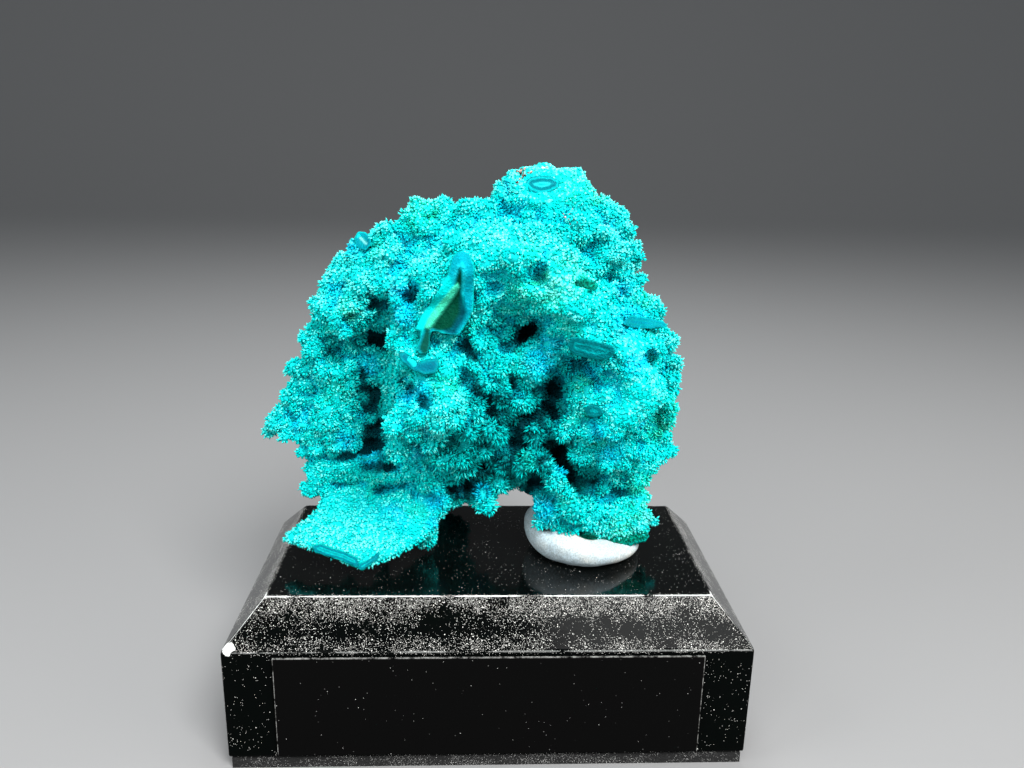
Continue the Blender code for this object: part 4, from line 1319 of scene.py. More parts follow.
@dataclass(frozen=True)
class Grains:
    """A cluster of foreign grains on the growth.

    Attributes:
        name: The piece's name.
        at: The cluster's middle on the front plane, in millimetres.
        spread: How far the grains scatter round it, in millimetres.
        count: How many grains there are.
        size: A grain's radius, in millimetres.
        colours: The grains' darkest and lightest colour.
    """

    name: str
    at: tuple[float, float]
    spread: float
    count: int
    size: float
    colours: tuple[Colour, Colour]

    def build(self, growth: MineralSkin) -> Object:
        """Seat every grain at the tips of the needles."""
        draw = np.random.default_rng(self.count)
        places = []
        for x, z in np.array(self.at) + draw.normal(0, self.spread, (self.count, 2)):
            seat = Seat.on(growth.seats, x, z)
            if seat is not None:
                places.append(seat.at + seat.line * 0.05 * MM)
        sizes = self.size * MM * draw.uniform(0.5, 1.2, (len(places), 3))
        grains = Model.ball().copies(self.name, np.array(places), round_frames(sizes, draw))
        return smooth_shaded(grains)

    def material(self) -> Material:
        """Make the material."""
        material, graph, shader = new_material(self.name, 0.6, Specular_IOR_Level=0.2)
        share = graph.between(graph.noise(graph.place(), 2 * self.size * MM, 2.0), 0.4, 0.65)
        graph.put(shader.inputs["Base Color"], graph.blend(share, *self.colours))
        return material


GRAINS = (
    Grains("brown_grains", (2.9, 63.9), 0.35, 26, 0.16, ((0.02, 0.012, 0.008, 1.0), (0.45, 0.30, 0.25, 1.0))),
    Grains("pale_grain", (5.0, 64.3), 0.12, 4, 0.16, ((0.25, 0.20, 0.18, 1.0), (0.75, 0.65, 0.60, 1.0))),
    Grains("grey_grains", (8.0, 59.1), 0.45, 9, 0.12, ((0.03, 0.03, 0.03, 1.0), (0.50, 0.38, 0.36, 1.0))),
)


@dataclass(frozen=True)
class MineralFinish:
    """The turquoise of the needles and the dark blue-green of the skin between them, with painted light and shade.

    Attributes:
        ground: The skin where it stands out.
        root: The skin in hollows, and the needles' roots: painted shade in the creases and between the needles.
        middle: The needles' middles.
        tip: The needles' tips, made pale as a painted highlight only out of hollows and deep places.
        painted_highlight: The painted highlight that turns chosen tips nearly white.
        blue: Growth that has turned blue.
        green: Growth that has turned green.
        dark: The painted shade of growth that lies deep.
    """

    ground: Colour = (0.0, 0.47, 0.48, 1.0)
    root: Colour = (0.0, 0.43, 0.435, 1.0)
    middle: Colour = (0.0, 0.56, 0.545, 1.0)
    tip: Colour = (0.0, 0.64, 0.595, 1.0)
    painted_highlight: Colour = (0.21, 0.88, 0.8, 1.0)
    blue: Colour = (0.0, 0.43, 0.7, 1.0)
    green: Colour = (0.01, 0.56, 0.3, 1.0)
    dark: Colour = (0.0, 0.03, 0.04, 1.0)

    def patches(self) -> NodeTree:
        """The group that tints a colour bluer in hollows and greener in drifting patches."""
        tree, graph, entry, leave = new_group(
            "mineral_patches",
            {"Vector": "vector", "Colour": self.middle, "Hollow": 0.5, "Blue": 0.0, "Green": 0.0},
            {"Colour": "NodeSocketColor"})
        drift = graph.noise(entry["Vector"], 7 * MM)
        hollow = graph.plus(entry["Hollow"], graph.times(graph.minus(drift, 0.5), 1.4))
        share = graph.most(graph.times(graph.between(hollow, 0.5, 0.95), 0.45), graph.times(entry["Blue"], 0.8))
        bluer = graph.blend(share, entry["Colour"], self.blue)
        patch = graph.between(graph.noise(entry["Vector"], 4.5 * MM, 3.0), 0.56, 0.72)
        share = graph.most(graph.times(patch, 0.35), graph.times(entry["Green"], 0.8))
        graph.put(leave.inputs["Colour"], graph.blend(share, bluer, self.green))
        return tree

    def shade(self, graph: Graph, deep: Socket) -> Socket:
        """How much painted shade darkens the growth for how deep it lies."""
        return graph.times(graph.between(deep, 0.36, 0.88), 0.95)

    def needles(self, patches: NodeTree) -> Material:
        """The needles' material: painted shade darkens the root, painted highlights pale or whiten the tip."""
        material, graph, shader = new_material("needle_velvet", 0.6, Specular_IOR_Level=0.02)
        tip, tone, hollow = graph.parts(graph.attribute("growth", "Color"))
        blue, green, deep = graph.parts(graph.attribute("tint_and_painted_light", "Color"))
        # Painted shade: each needle darkens from its middle towards its root.
        low = graph.blend(graph.between(tip, 0.0, 0.6), self.root, self.middle)
        tinted = graph.group(patches, Vector=graph.place(), Colour=low, Hollow=hollow, Blue=blue,
                             Green=green).outputs["Colour"]
        # Painted highlight: the tips turn pale where they stand out of hollows, blue growth and deep places.
        pale = graph.times(graph.between(tip, 0.35, 1.0), graph.between(hollow, 0.95, 0.3))
        pale = graph.times(pale, graph.minus(1.0, graph.times(blue, 0.6)))
        pale = graph.times(pale, graph.between(deep, 0.75, 0.3))
        colour = graph.blend(pale, tinted, self.tip)
        # Painted highlight: chosen needles, and those in the highlight spots, turn nearly white at the tip, but not in
        # deep places.
        highlight_spots = graph.times(graph.attribute("tint_and_painted_light", "Alpha"), graph.between(tone, 0.2, 0.6))
        chosen = graph.most(graph.times(graph.between(tone, 0.55, 0.85), 0.85), highlight_spots)
        chosen = graph.times(chosen, graph.between(deep, 0.6, 0.25))
        highlight_share = graph.times(graph.times(graph.between(tip, 0.35, 0.9), chosen), pale)
        colour = graph.blend(highlight_share, colour, self.painted_highlight)
        # Painted shade: growth that lies deep is darkened towards near black.
        colour = graph.blend(self.shade(graph, deep), colour, self.dark)
        brightness = graph.plus(graph.times(tone, 0.46), 0.76)
        graph.put(shader.inputs["Base Color"], graph.dimmed(colour, brightness))
        return material

    def skin(self, patches: NodeTree) -> Material:
        """The skin's material, with painted shade: darker in hollows and near black where it lies deep."""
        material, graph, shader = new_material("mineral_skin", 0.8, Specular_IOR_Level=0.1)
        hollow = graph.attribute("hollow")
        # Painted shade: the skin darkens in hollows, and in the deepest ones half way to near black.
        base = graph.blend(graph.between(hollow, 0.45, 0.8), self.ground, self.root)
        tinted = graph.group(patches, Vector=graph.place(), Colour=base, Hollow=hollow).outputs["Colour"]
        sunk = graph.times(graph.between(hollow, 0.7, 1.0), 0.5)
        deep = graph.most(sunk, self.shade(graph, graph.attribute("deep")))
        graph.put(shader.inputs["Base Color"], graph.blend(deep, tinted, self.dark))
        return material


# The bands' colours and the breaks' finishes.
SKY = (0.00, 0.62, 0.64, 1.0)
CLEAR = (0.02, 0.78, 0.80, 1.0)
BLUE_BAND = (0.00, 0.33, 0.44, 1.0)
BAND = (0.00, 0.31, 0.40, 1.0)
NAVY = (0.00, 0.06, 0.085, 1.0)
TEAL = (0.00, 0.19, 0.21, 1.0)
OLIVE = (0.035, 0.50, 0.32, 1.0)
MOSS = (0.00, 0.045, 0.024, 1.0)

AGATE = BandFinish("blue_bands", (
    (0.0, (0.0, 0.26, 0.30, 1.0)), (0.25, SKY), (0.42, (0.0, 0.22, 0.27, 1.0)), (0.65, (0.0, 0.28, 0.34, 1.0)),
    (0.85, CLEAR), (1.0, SKY)), 0.5, 0.15)
RING = BandFinish("ring_bands", (
    (0.0, (0.0, 0.62, 0.60, 1.0)), (0.25, BLUE_BAND), (0.55, (0.0, 0.36, 0.42, 1.0)), (0.8, (0.0, 0.42, 0.46, 1.0)),
    (1.0, BLUE_BAND)), 0.5, 0.15, 0.6)
BLADE = BandFinish("blade_bands", (
    (0.0, (0.0, 0.40, 0.38, 1.0)), (0.14, (0.0, 0.26, 0.32, 1.0)), (0.75, BAND), (0.9, SKY),
    (1.0, (0.0, 0.50, 0.54, 1.0))), 0.55, 0.15, 1.0)
BLUE_BREAK = BandFinish("blue_break", (
    (0.0, (0.0, 0.34, 0.36, 1.0)), (0.4, (0.0, 0.19, 0.26, 1.0)), (1.0, (0.0, 0.15, 0.23, 1.0))), 0.5, 0.2, 0.7)
SECTION = BandFinish("teal_bands", (
    (0.0, (0.0, 0.30, 0.30, 1.0)), (0.15, TEAL), (0.5, (0.0, 0.15, 0.17, 1.0)), (0.7, (0.0, 0.37, 0.39, 1.0)),
    (0.85, TEAL)), 0.45, 0.2, 0.85)
PLATE = BandFinish("plate_bands", (
    (0.0, (0.0, 0.52, 0.46, 1.0)), (0.22, (0.0, 0.22, 0.26, 1.0)), (0.6, (0.0, 0.18, 0.24, 1.0)),
    (0.78, (0.0, 0.44, 0.44, 1.0)), (0.95, (0.0, 0.28, 0.31, 1.0))), 0.5, 0.2, 0.8)
MOSSY = BandFinish("mossy_break", (
    (0.0, (0.0, 0.34, 0.28, 1.0)), (0.5, (0.0, 0.17, 0.11, 1.0)), (1.0, (0.0, 0.22, 0.15, 1.0))), 0.6, 0.8, 0.85)

BROKEN_FACES = (
    BandedFace("blade_section", (
        (-4.3, 55.3), (-3.9, 55.7), (-3.2, 55.8), (-2.6, 55.5), (-2.2, 54.7), (-2.0, 53.6), (-2.1, 52.4), (-2.1, 50.8),
        (-2.2, 49.5), (-2.6, 48.5), (-3.1, 47.7), (-3.7, 46.8), (-4.5, 46.8), (-5.2, 46.9), (-6.0, 47.2), (-6.6, 47.2),
        (-6.8, 46.6), (-6.8, 45.5), (-7.2, 44.6), (-7.9, 44.7), (-8.2, 45.4), (-7.8, 46.5), (-7.7, 47.2), (-8.3, 47.4),
        (-7.8, 48.6), (-6.8, 50.0), (-5.9, 51.5), (-5.2, 52.5), (-4.8, 53.4), (-4.6, 54.5)),
        BLADE, 0.15, 1.3, 0.15, (-5.0, 50.0), (-0.10, -0.97, 0.20), 0.5, margin=-0.15, inlays=(
            Inlay(((-5.3, 53.0), (-4.5, 52.9), (-4.4, 52.0), (-5.2, 50.6), (-6.3, 49.1), (-7.1, 47.7), (-7.3, 47.1),
                   (-8.6, 47.0), (-8.2, 48.6), (-7.2, 50.0), (-6.3, 51.5)), (0.0, 0.56, 0.54, 1.0), 0.10, 0.6),
            Inlay(((-4.3, 52.2), (-4.2, 53.4), (-3.9, 54.3), (-3.4, 54.5), (-3.0, 54.1), (-2.9, 53.3), (-3.1, 52.0),
                   (-3.2, 51.1), (-3.5, 51.1), (-3.4, 52.7), (-3.3, 53.6), (-3.5, 54.0), (-3.7, 53.9), (-3.9, 53.1),
                   (-4.0, 52.1)), (0.004, 0.40, 0.47, 1.0), 0.05, 0.3),
            Inlay(((-3.9, 53.1), (-3.7, 53.8), (-3.6, 53.9), (-3.4, 53.6), (-3.4, 52.6), (-3.5, 51.5), (-3.4, 50.2),
                   (-3.2, 49.2), (-3.7, 48.4), (-4.3, 47.6), (-5.0, 47.2), (-6.2, 47.3), (-6.8, 47.6), (-6.8, 48.4),
                   (-5.9, 49.4), (-4.6, 51.0), (-4.2, 52.0)), MOSS, -0.30, 0.3),
            Inlay(((-4.3, 52.0), (-3.8, 52.4), (-3.6, 51.9), (-4.2, 50.9), (-5.0, 49.8), (-5.8, 48.7), (-6.4, 47.8),
                   (-6.9, 47.2), (-7.3, 47.6), (-6.9, 48.6), (-6.0, 49.9), (-5.0, 51.1)), OLIVE, 0.30, 0.25),
            Inlay(((-3.6, 50.8), (-3.3, 50.8), (-3.0, 49.2), (-3.2, 48.4), (-3.7, 47.6), (-4.2, 46.8), (-5.0, 46.9),
                   (-5.3, 47.3), (-4.5, 47.5), (-4.1, 48.3), (-3.6, 49.2)), NAVY, -0.45, 0.5),
            Inlay(((-6.9, 47.4), (-6.7, 46.8), (-6.8, 45.7), (-7.0, 44.8), (-7.5, 44.5), (-8.0, 45.3), (-7.8, 45.9),
                   (-7.5, 46.7), (-7.3, 47.3)), (0.001, 0.06, 0.045, 1.0), -0.1, 0.4))),
    BandedFace("slab_end_section", (
        (8.3, 46.7), (9.1, 46.7), (11.0, 46.3), (12.9, 45.8), (13.3, 45.2), (12.8, 44.4), (11.6, 44.2), (10.2, 44.4),
        (8.7, 44.8), (8.1, 45.5)), SECTION, 0.05, 0.95, conform=0.6, margin=-0.1, uneven=0.15),
    BandedFace("crown_section", (
        (3.0, 62.7), (3.4, 63.3), (4.5, 63.6), (5.7, 63.5), (6.6, 63.1), (6.5, 62.4), (5.7, 61.9), (4.6, 61.7),
        (3.6, 62.0)), AGATE, -0.1, 0.9, 0.1, conform=0.95, margin=-0.1),
    BandedFace("upper_left_section", (
        (-14.5, 56.9), (-14.1, 57.6), (-13.4, 57.6), (-12.8, 57.1), (-12.7, 56.3), (-13.3, 55.7), (-13.9, 55.8),
        (-14.4, 56.2)), RING, -0.1, 0.8, conform=0.9, inlays=(
            Inlay(((-14.0, 56.95), (-13.85, 57.1), (-13.15, 56.4), (-13.3, 56.25)), (0.25, 0.9, 0.88, 1.0),
                  0.0, 0.08),)),
    BandedFace("plate_section_left", (
        (-20.4, 22.1), (-19.3, 22.2), (-18.0, 21.7), (-16.6, 21.2), (-15.3, 20.5), (-15.0, 19.7), (-15.3, 19.2),
        (-17.0, 20.1), (-18.5, 20.6), (-20.1, 21.2)), PLATE, 0.15, 0.55, conform=0.5, margin=-0.15, uneven=0.35),
    BandedFace("plate_section_right", (
        (-15.0, 19.7), (-14.3, 20.1), (-13.4, 20.7), (-12.7, 21.4), (-12.8, 20.4), (-13.8, 19.6), (-14.7, 18.9),
        (-15.3, 19.2)), PLATE, 0.15, 0.45, conform=0.5, margin=-0.1, uneven=0.35),
    BandedFace("ridge_tip_break", (
        (8.6, 52.9), (9.5, 53.2), (10.7, 52.8), (11.1, 52.3), (10.7, 51.8), (9.8, 51.7), (8.9, 52.1)),
        MOSSY, 0.0, 0.6, conform=1.0, margin=-0.15),
    BandedFace("base_break", (
        (10.0, 22.9), (10.7, 23.6), (11.8, 23.7), (12.6, 23.1), (13.6, 23.0), (14.5, 23.5), (15.6, 23.2), (16.7, 23.6),
        (17.9, 24.1), (18.4, 23.3), (17.9, 22.6), (16.2, 22.1), (13.7, 21.8), (11.9, 21.8), (10.9, 22.2)),
        MOSSY, 0.0, 0.7, conform=1.0, margin=-0.35, uneven=0.8),
    BandedFace("swirl_section", (
        (10.1, 38.7), (11.0, 39.2), (12.0, 38.8), (12.4, 38.1), (11.6, 37.6), (10.5, 37.8)), SECTION, -0.15, 0.8,
        conform=1.0),
    BandedFace("blue_band_break", (
        (-10.2, 44.8), (-9.3, 44.8), (-8.6, 44.1), (-7.8, 43.8), (-6.9, 44.1), (-6.0, 44.2), (-5.8, 43.4), (-6.2, 42.5),
        (-7.4, 42.4), (-8.6, 42.8), (-9.8, 43.8)), BLUE_BREAK, -0.15, 0.9, conform=1.0, margin=-0.15),
    BandedFace("streak_section", (
        (13.7, 48.3), (14.6, 49.1), (16.5, 48.9), (18.3, 48.5), (18.8, 48.0), (17.0, 47.7), (15.0, 47.8)),
        RING, -0.25, 0.5, conform=1.0, margin=-0.2, uneven=0.35),
)


# ---- the display stand ----

@dataclass(frozen=True)
class BlockSize:
    """The lacquered block's flats, in millimetres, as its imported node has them.

    Attributes:
        top: The height of its top.
        foot: The height of its underside.
        chamfer_in: How far the chamfer reaches in from the sides.
        chamfer_down: How far it reaches down from the top.
    """

    half_width: float = 28.5
    half_depth: float = 16.0
    top: float = 19.0
    foot: float = 1.6
    chamfer_in: float = 4.0
    chamfer_down: float = 4.4

    def planes(self) -> tuple[tuple[tuple[float, float, float], float], ...]:
        """The block's faces over mirrored X and Y: top, side, front, the chamfer's side and front, and underside.

        Returns:
            Each face's direction and its distance in millimetres.
        """
        slope = np.hypot(self.chamfer_in, self.chamfer_down)
        level, lean = self.chamfer_down / slope, self.chamfer_in / slope
        rim = self.top - self.chamfer_down
        return (((0, 0, 1), self.top), ((1, 0, 0), self.half_width), ((0, 1, 0), self.half_depth),
                ((level, 0, lean), level * self.half_width + lean * rim),
                ((0, level, lean), level * self.half_depth + lean * rim), ((0, 0, -1), -self.foot))


class StandEffects:
    """Effects that several materials of the stand share."""

    def __init__(self) -> None:
        """Make each effect's group once."""
        self.dust = self.make_dust()
        self.wear = self.make_wear()

    def make_dust(self) -> NodeTree:
        """Specks of dust that gather in drifts."""
        tree, graph, entry, leave = new_group(
            "dust_specks", {"Vector": "vector", "Amount": 0.5, "Size": 0.12 * MM}, {"Mask": "NodeSocketFloat"})
        specks = graph.node("ShaderNodeTexVoronoi", feature="F1")
        graph.put(specks.inputs["Vector"], entry["Vector"])
        graph.put(specks.inputs["Scale"], graph.math("DIVIDE", 1.0, entry["Size"]))
        chance = graph.parts(specks.outputs["Color"])
        drift = graph.noise(entry["Vector"], 3.0 * MM, 3.0)
        there = graph.math("LESS_THAN", chance[0], graph.times(entry["Amount"], graph.between(drift, 0.25, 0.75)))
        inside = graph.between(specks.outputs["Distance"], 0.42, 0.22)
        graph.put(leave.inputs["Mask"], graph.times(there, graph.times(inside, graph.between(chance[1], 0.0, 0.7))))
        return tree

    def make_wear(self) -> NodeTree:
        """Wear that follows an edge and breaks up along it."""
        tree, graph, entry, leave = new_group(
            "edge_wear", {"Vector": "vector", "Edge": 0.0, "Amount": 0.5}, {"Mask": "NodeSocketFloat"})
        rough = graph.noise(entry["Vector"], 0.8 * MM, 4.0, 0.7)
        whole = graph.times(graph.between(graph.noise(entry["Vector"], 6.0 * MM, 2.0), 0.52, 0.38), 0.34)
        level = graph.minus(graph.plus(entry["Edge"], graph.minus(rough, 0.5)),
                            graph.plus(graph.minus(1.0, entry["Amount"]), whole))
        graph.put(leave.inputs["Mask"], graph.times(graph.between(level, 0.0, 0.25), entry["Edge"]))
        return tree

    def specks(self, graph: Graph, place: Socket, amount: object, size: float) -> Socket:
        """Where the dust lies in a material, for how much of it there is and how large a speck's cell is."""
        return graph.group(self.dust, Vector=place, Amount=amount, Size=size).outputs["Mask"]


@dataclass(frozen=True)
class LacquerFinish:
    """Glossy black lacquer with worn white edges, faint brushing and dust.

    Attributes:
        size: The block that it lies on.
        edge: How far inside a face its edge begins, and where it is whole.
        face: How far inside a face lacquer still counts as on it.
        chip: The chipped corner's middle.
        chip_radius: Where the chip ends and where it is whole.
        dust_sizes: How wide the cells of the fine and the coarse specks are.
    """

    size: BlockSize = BlockSize()
    black: Colour = (0.0010, 0.0014, 0.0013, 1.0)
    worn: Colour = (0.62, 0.64, 0.62, 1.0)
    dust: Colour = (0.75, 0.74, 0.70, 1.0)
    edge: tuple[float, float] = (-0.20 * MM, -0.05 * MM)
    face: float = -0.3 * MM
    chip: tuple[float, float, float] = (-27.7 * MM, -15.8 * MM, 15.0 * MM)
    chip_radius: tuple[float, float] = (1.25 * MM, 1.05 * MM)
    dust_sizes: tuple[float, float] = (0.085 * MM, 0.16 * MM)

    def material(self, effects: StandEffects) -> Material:
        """Make the material."""
        material, graph, shader = new_material("black_lacquer", 0.22)
        place = graph.place()
        axes = graph.parts(place, "ShaderNodeSeparateXYZ")
        gaps = self.gaps(graph, axes)
        on_top, on_side, on_front = (graph.between(gaps[number], self.face, 0.0) for number in (0, 3, 4))
        on_chamfer = graph.most(on_side, on_front)
        worn = self.worn_edges(graph, effects, place, gaps, axes[1])
        gloss = graph.most(graph.times(on_top, 0.28), graph.times(on_side, 0.12))
        graph.put(shader.inputs["Specular IOR Level"], graph.plus(gloss, 0.012))
        specks = self.specks(graph, effects, place, on_chamfer, axes[2])
        streak = graph.node("ShaderNodeMapping")
        streak.inputs["Scale"].default_value = (0.06, 1.0, 1.0)
        graph.put(streak.inputs["Vector"], place)
        brushed = graph.noise(streak.outputs[0], 0.5 * MM, 3.0, 0.6)
        white = graph.times(worn, graph.between(axes[2], 13.0 * MM, 19.0 * MM))
        white = graph.most(white, self.chipped(graph, place))
        colour = graph.blend(white, graph.blend(specks, self.black, self.dust), self.worn)
        graph.put(shader.inputs["Base Color"], colour)
        dull = graph.plus(graph.times(graph.between(brushed, 0.3, 0.8), 0.08), 0.08)
        graph.put(shader.inputs["Roughness"], graph.most(dull, graph.times(graph.most(specks, worn), 0.7)))
        graph.bump(shader, graph.plus(graph.times(brushed, 0.15), specks), 0.04 * MM, 0.25)
        return material

    def gaps(self, graph: Graph, axes: Sequence[Socket]) -> list[Socket]:
        """How far outside each of the block's faces the lacquer lies: less than 0 inside it."""
        mirrored = graph.node("ShaderNodeCombineXYZ")
        for number, part in enumerate((graph.math("ABSOLUTE", axes[0]), graph.math("ABSOLUTE", axes[1]), axes[2])):
            graph.put(mirrored.inputs[number], part)
        gaps = []
        for way, distance in self.size.planes():
            dot = graph.node("ShaderNodeVectorMath", operation="DOT_PRODUCT")
            graph.put(dot.inputs[0], mirrored.outputs[0])
            dot.inputs[1].default_value = way
            gaps.append(graph.minus(dot.outputs["Value"], distance * MM))
        return gaps

    def worn_edges(self, graph: Graph, effects: StandEffects, place: Socket,
                   gaps: Sequence[Socket], depth: Socket) -> Socket:
        """Where the lacquer is worn off: along the front edges, where two faces meet."""
        edge = -1.0
        for gap in gaps:
            edge = graph.plus(edge, graph.between(gap, *self.edge))
        edge = graph.math("MINIMUM", edge, 1.0, clamp=True)
        worn = graph.group(effects.wear, Vector=place, Edge=edge, Amount=0.42).outputs["Mask"]
        return graph.times(worn, graph.between(depth, -10.5 * MM, -11.5 * MM))

    def chipped(self, graph: Graph, place: Socket) -> Socket:
        """Where the corner's chip is, with its ragged edge."""
        apart = graph.node("ShaderNodeVectorMath", operation="DISTANCE")
        graph.put(apart.inputs[0], place)
        apart.inputs[1].default_value = self.chip
        ragged = graph.plus(apart.outputs["Value"], graph.times(graph.noise(place, 0.5 * MM), 0.9 * MM))
        return graph.between(ragged, *self.chip_radius)

    def specks(self, graph: Graph, effects: StandEffects, place: Socket,
               on_chamfer: Socket, height: Socket) -> Socket:
        """Where dust lies: a little everywhere, more on the chamfer and most along its two edges."""
        high = graph.times(on_chamfer, graph.between(height, 16.4 * MM, 18.6 * MM))
        low = graph.times(on_chamfer, graph.between(height, 16.2 * MM, 14.8 * MM))
        amount = graph.plus(graph.plus(graph.times(high, 1.5), graph.times(low, 0.8)), 0.045)
        amount = graph.plus(amount, graph.times(on_chamfer, 0.22))
        fine, coarse = self.dust_sizes
        return graph.most(effects.specks(graph, place, amount, fine),
                          effects.specks(graph, place, graph.times(amount, 0.25), coarse))


@dataclass(frozen=True)
class LabelFinish:
    """Black label tape, with a painted highlight along its cut top and side edges.

    Attributes:
        half: Half the label's width and half its height, in millimetres.
        middle: The height of its middle, in millimetres.
    """

    half: tuple[float, float] = (23.0, 6.0)
    middle: float = 8.2
    black: Colour = (0.002, 0.002, 0.002, 1.0)
    dust: Colour = (0.5, 0.5, 0.48, 1.0)
    edge_highlight: Colour = (0.22, 0.22, 0.21, 1.0)

    def material(self, effects: StandEffects) -> Material:
        """Make the material."""
        material, graph, shader = new_material("label_tape", 0.3, Specular_IOR_Level=0.012)
        place = graph.place()
        axes = graph.parts(place, "ShaderNodeSeparateXYZ")
        across = graph.minus(self.half[0] * MM, graph.math("ABSOLUTE", axes[0]))
        up = graph.minus((self.middle + self.half[1]) * MM, axes[2])
        breaks = graph.between(graph.noise(place, 0.7 * MM, 4.0, 0.7), 0.35, 0.65)
        # Painted highlight: a broken pale line along the cut top and side edges.
        line = graph.times(graph.between(graph.math("MINIMUM", across, up), 0.10 * MM, 0.03 * MM), breaks)
        colour = graph.blend(effects.specks(graph, place, 0.012, 0.14 * MM), self.black, self.dust)
        graph.put(shader.inputs["Base Color"], graph.blend(line, colour, self.edge_highlight))
        scuff = graph.noise(place, 2.5 * MM, 5.0, 0.6)
        graph.put(shader.inputs["Roughness"], graph.plus(graph.times(scuff, 0.25), 0.2))
        return material


@dataclass(frozen=True)
class FeltFinish:
    """Black felt, with paler fibres and lint."""

    dark: Colour = (0.004, 0.004, 0.004, 1.0)
    fibre: Colour = (0.03, 0.03, 0.03, 1.0)
    lint: Colour = (0.6, 0.6, 0.58, 1.0)

    def material(self, effects: StandEffects) -> Material:
        """Make the material."""
        material, graph, shader = new_material("black_felt", 0.95, Specular_IOR_Level=0.1)
        place = graph.place()
        fibres = graph.noise(place, 0.25 * MM, 4.0, 0.7)
        base = graph.blend(fibres, self.dark, self.fibre)
        specks = effects.specks(graph, place, 1.3, 0.12 * MM)
        graph.put(shader.inputs["Base Color"], graph.blend(specks, base, self.lint))
        graph.bump(shader, fibres, 0.2 * MM)
        return material


class DisplayStand:
    """The lacquered block with its label and its felt pad."""

    def build(self, effects: StandEffects) -> None:
        """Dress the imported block, label and pad."""
        for node, finish in (("display_block", LacquerFinish()), ("label", LabelFinish()), ("felt_pad", FeltFinish())):
            material = finish.material(effects)
            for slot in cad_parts[node].material_slots:
                slot.material = material


@dataclass
class Tack:
    """The pad of white mounting tack under the mineral's right foot.

    Attributes:
        node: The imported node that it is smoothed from.
        grid: The size of its faces.
        marks: Its uneven places: name, width and height in millimetres, and the level that stays in place.
    """

    node: str = "mineral_tack"
    grid: float = 0.22 * MM
    marks: tuple[tuple[str, float, float, float], ...] = (("finger_marks", 3.0, 0.30, 0.0), ("fibres", 0.6, 0.06, 0.45))
    cool_lit: Colour = (0.44, 0.55, 0.60, 1.0)
    warm_lit: Colour = (0.61, 0.57, 0.48, 1.0)
    fibre: Colour = (0.28, 0.33, 0.34, 1.0)

    def build(self) -> Object:
        """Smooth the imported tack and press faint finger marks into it."""
        tack = copy_of_node(self.node, "tack_pad")
        even_out(tack, self.grid, 6)
        for name, size, strength, level in self.marks:
            roughen(tack, name, size * MM, strength * MM, level)
        apply_modifiers(tack)
        return smooth_shaded(tack)

    def material(self) -> Material:
        """Make the material: matte white with fine fibres, and with painted light in patches of a cool-lit and a
        warm-lit tint.
        """
        material, graph, shader = new_material("white_tack", 0.75, Subsurface_Weight=0.15)
        shader.inputs["Subsurface Radius"].default_value = (1.0 * MM, 0.8 * MM, 0.6 * MM)
        place = graph.place()
        fibres = graph.noise(place, 0.18 * MM, 3.0, 0.6)
        # Painted light: noise spreads the tack's cool-lit and warm-lit tints in patches.
        warm_lit = graph.between(graph.noise(place, 5.0 * MM, 2.0), 0.42, 0.62)
        base = graph.blend(graph.times(warm_lit, 0.7), self.cool_lit, self.warm_lit)
        graph.put(shader.inputs["Base Color"], graph.blend(graph.between(fibres, 0.35, 0.7), base, self.fibre))
        graph.bump(shader, fibres, 0.1 * MM, 0.5)
        return material


# ---- studio ----

@dataclass(frozen=True)
class Softbox:
    """A square light that looks at the specimen, with its power in watts."""

    name: str
    at: tuple[float, float, float]
    size: float
    power: float
    colour: tuple[float, float, float] = (1.0, 1.0, 1.0)

    def build(self, aim: tuple[float, float, float]) -> None:
        """Hang the light and turn it to its aim."""
        light = bpy.data.lights.new(self.name, "AREA")
        light.size = self.size
        light.energy = self.power
        light.color = self.colour
        lamp = bpy.data.objects.new(self.name, light)
        bpy.context.scene.collection.objects.link(lamp)
        lamp.location = self.at
        lamp.rotation_euler = (Vector(aim) - Vector(self.at)).to_track_quat("-Z", "Y").to_euler()


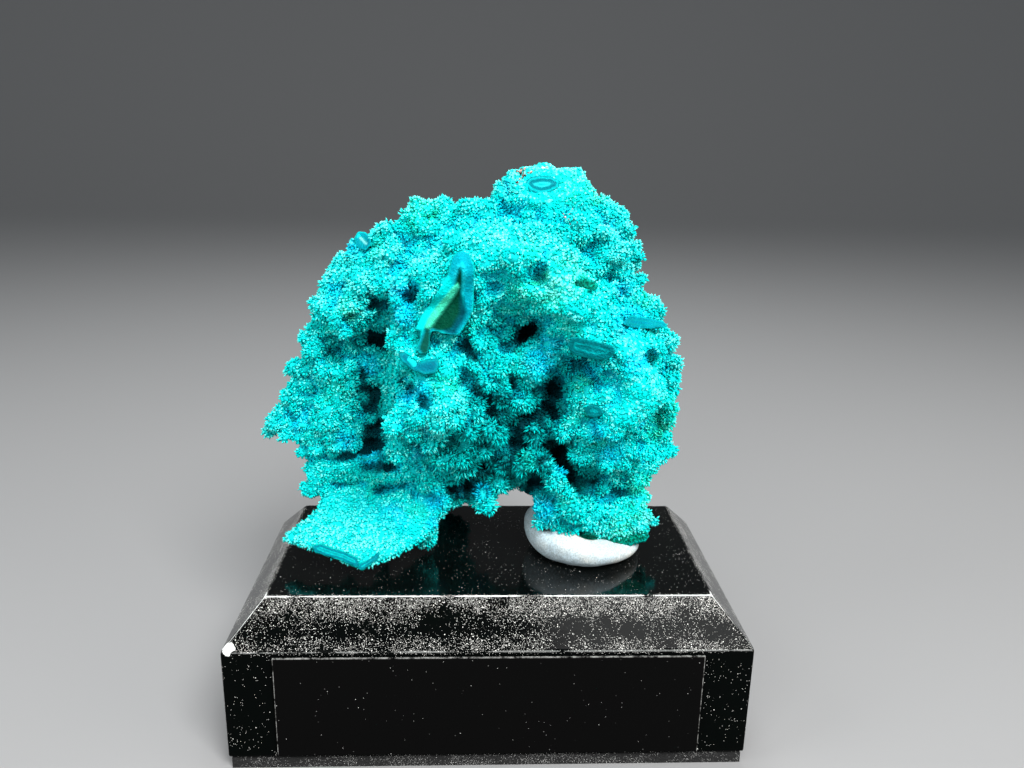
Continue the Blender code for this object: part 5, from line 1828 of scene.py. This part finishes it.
@dataclass
class Studio:
    """The floor, the lights and the camera.

    Attributes:
        lens: The camera's focal length, in millimetres.
        sensor: The width of its picture, in millimetres.
        down: How far it looks down, in degrees.
        turn: How far it is turned to the right, in degrees.
        roll: How far it is rolled, in degrees.
        floor_half: Half the floor's width.
        floor_grey: The floor's colour.
        sweep_radius: The radius in which the floor sweeps up behind.
        sweep_steps: How many steps the floor has.
        aim: Where the lights look.
        softboxes: A soft key above the front, and weaker lights before it, at both sides and behind.
        sky: The colour of the light from all round.
        sky_strength: Its strength.
    """

    lens: float = 30.56
    sensor: float = 36.0
    down: float = 16.13
    turn: float = 2.64
    roll: float = 1.17
    floor_half: float = 1.2
    floor_grey: Colour = (0.22, 0.22, 0.22, 1.0)
    sweep_radius: float = 0.6
    sweep_steps: int = 60
    aim: tuple[float, float, float] = (0.0, 0.0, 38 * MM)
    softboxes: tuple[Softbox, ...] = (
        Softbox("key", (0.11, -0.235, 0.30), 0.14, 2.5),
        Softbox("front", (-0.12, -0.25, 0.19), 0.14, 0.5),
        Softbox("left", (-0.24, -0.10, 0.20), 0.14, 0.4),
        Softbox("fill", (0.30, -0.16, 0.16), 0.20, 0.45, (1.0, 0.95, 0.88)),
        Softbox("rim", (0.00, 0.16, 0.34), 0.16, 0.7, (0.95, 0.98, 1.0)),
    )
    sky: Colour = (0.90, 0.95, 1.0, 1.0)
    sky_strength: float = 0.36

    def build(self) -> None:
        """Set the stage."""
        self.floor()
        for softbox in self.softboxes:
            softbox.build(self.aim)
        self.world()
        self.camera()
        bpy.context.scene.view_settings.view_transform = "Standard"

    def floor(self) -> None:
        """A plain pale floor that sweeps up behind."""
        deselect_all()
        bpy.ops.mesh.primitive_grid_add(x_subdivisions=1, y_subdivisions=self.sweep_steps, size=1.0)
        floor = bpy.context.active_object
        floor.name = "floor"
        points = points_of(floor.data)
        level, curve = 1.5 * self.floor_half, self.sweep_radius * pi / 2
        run = (points[:, 1] + 0.5) * (2 * self.floor_half + curve)
        turn = np.clip((run - level) / self.sweep_radius, 0, pi / 2)
        points[:, 0] *= 2 * self.floor_half
        points[:, 1] = np.minimum(run, level) - self.floor_half + self.sweep_radius * np.sin(turn)
        points[:, 2] = self.sweep_radius * (1 - np.cos(turn)) + np.maximum(run - level - curve, 0)
        set_points(floor.data, points)
        material, _, shader = new_material("pale_floor", 0.7)
        shader.inputs["Base Color"].default_value = self.floor_grey
        floor.data.materials.append(material)
        smooth_shaded(floor)

    def world(self) -> None:
        """A dim sky all round."""
        world = bpy.data.worlds.new("studio_sky")
        world.use_nodes = True
        sky = world.node_tree.nodes["Background"]
        sky.inputs["Color"].default_value = self.sky
        sky.inputs["Strength"].default_value = self.sky_strength
        bpy.context.scene.world = world

    def camera(self) -> None:
        """The camera, close in front and looking slightly down."""
        lens = bpy.data.cameras.new("camera")
        lens.lens = self.lens
        lens.sensor_width = self.sensor
        lens.clip_start = 1 * MM
        camera = bpy.data.objects.new("camera", lens)
        bpy.context.scene.collection.objects.link(camera)
        aim = Euler((radians(90 - self.down), 0, radians(-self.turn))).to_matrix()
        tilt = Matrix.Rotation(radians(self.roll), 3, "Z")
        camera.matrix_world = Matrix.Translation(Vector(EYE)) @ (aim @ tilt).to_4x4()
        bpy.context.scene.camera = camera


def main() -> None:
    """Build every piece in order and report it."""
    logging.basicConfig(level=logging.INFO, format="%(message)s")
    growth = MineralSkin()
    skin = growth.build()
    finish = MineralFinish()
    patches = finish.patches()
    finish_piece(skin, finish.skin(patches))
    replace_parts(skin, "chrysocolla")
    materials: dict[str, Material] = {}
    for face in BROKEN_FACES:
        if face.finish.name not in materials:
            materials[face.finish.name] = face.finish.material()
        finish_piece(face.build(growth), materials[face.finish.name])
    for cluster in GRAINS:
        finish_piece(cluster.build(growth), cluster.material())
    velvet = finish.needles(patches)
    for piece in Needles().build(growth, BROKEN_FACES):
        finish_piece(piece, velvet)
    DisplayStand().build(StandEffects())
    tack = Tack()
    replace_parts(finish_piece(tack.build(), tack.material()), "mineral_tack")
    Studio().build()


if __name__ == "__main__":
    main()
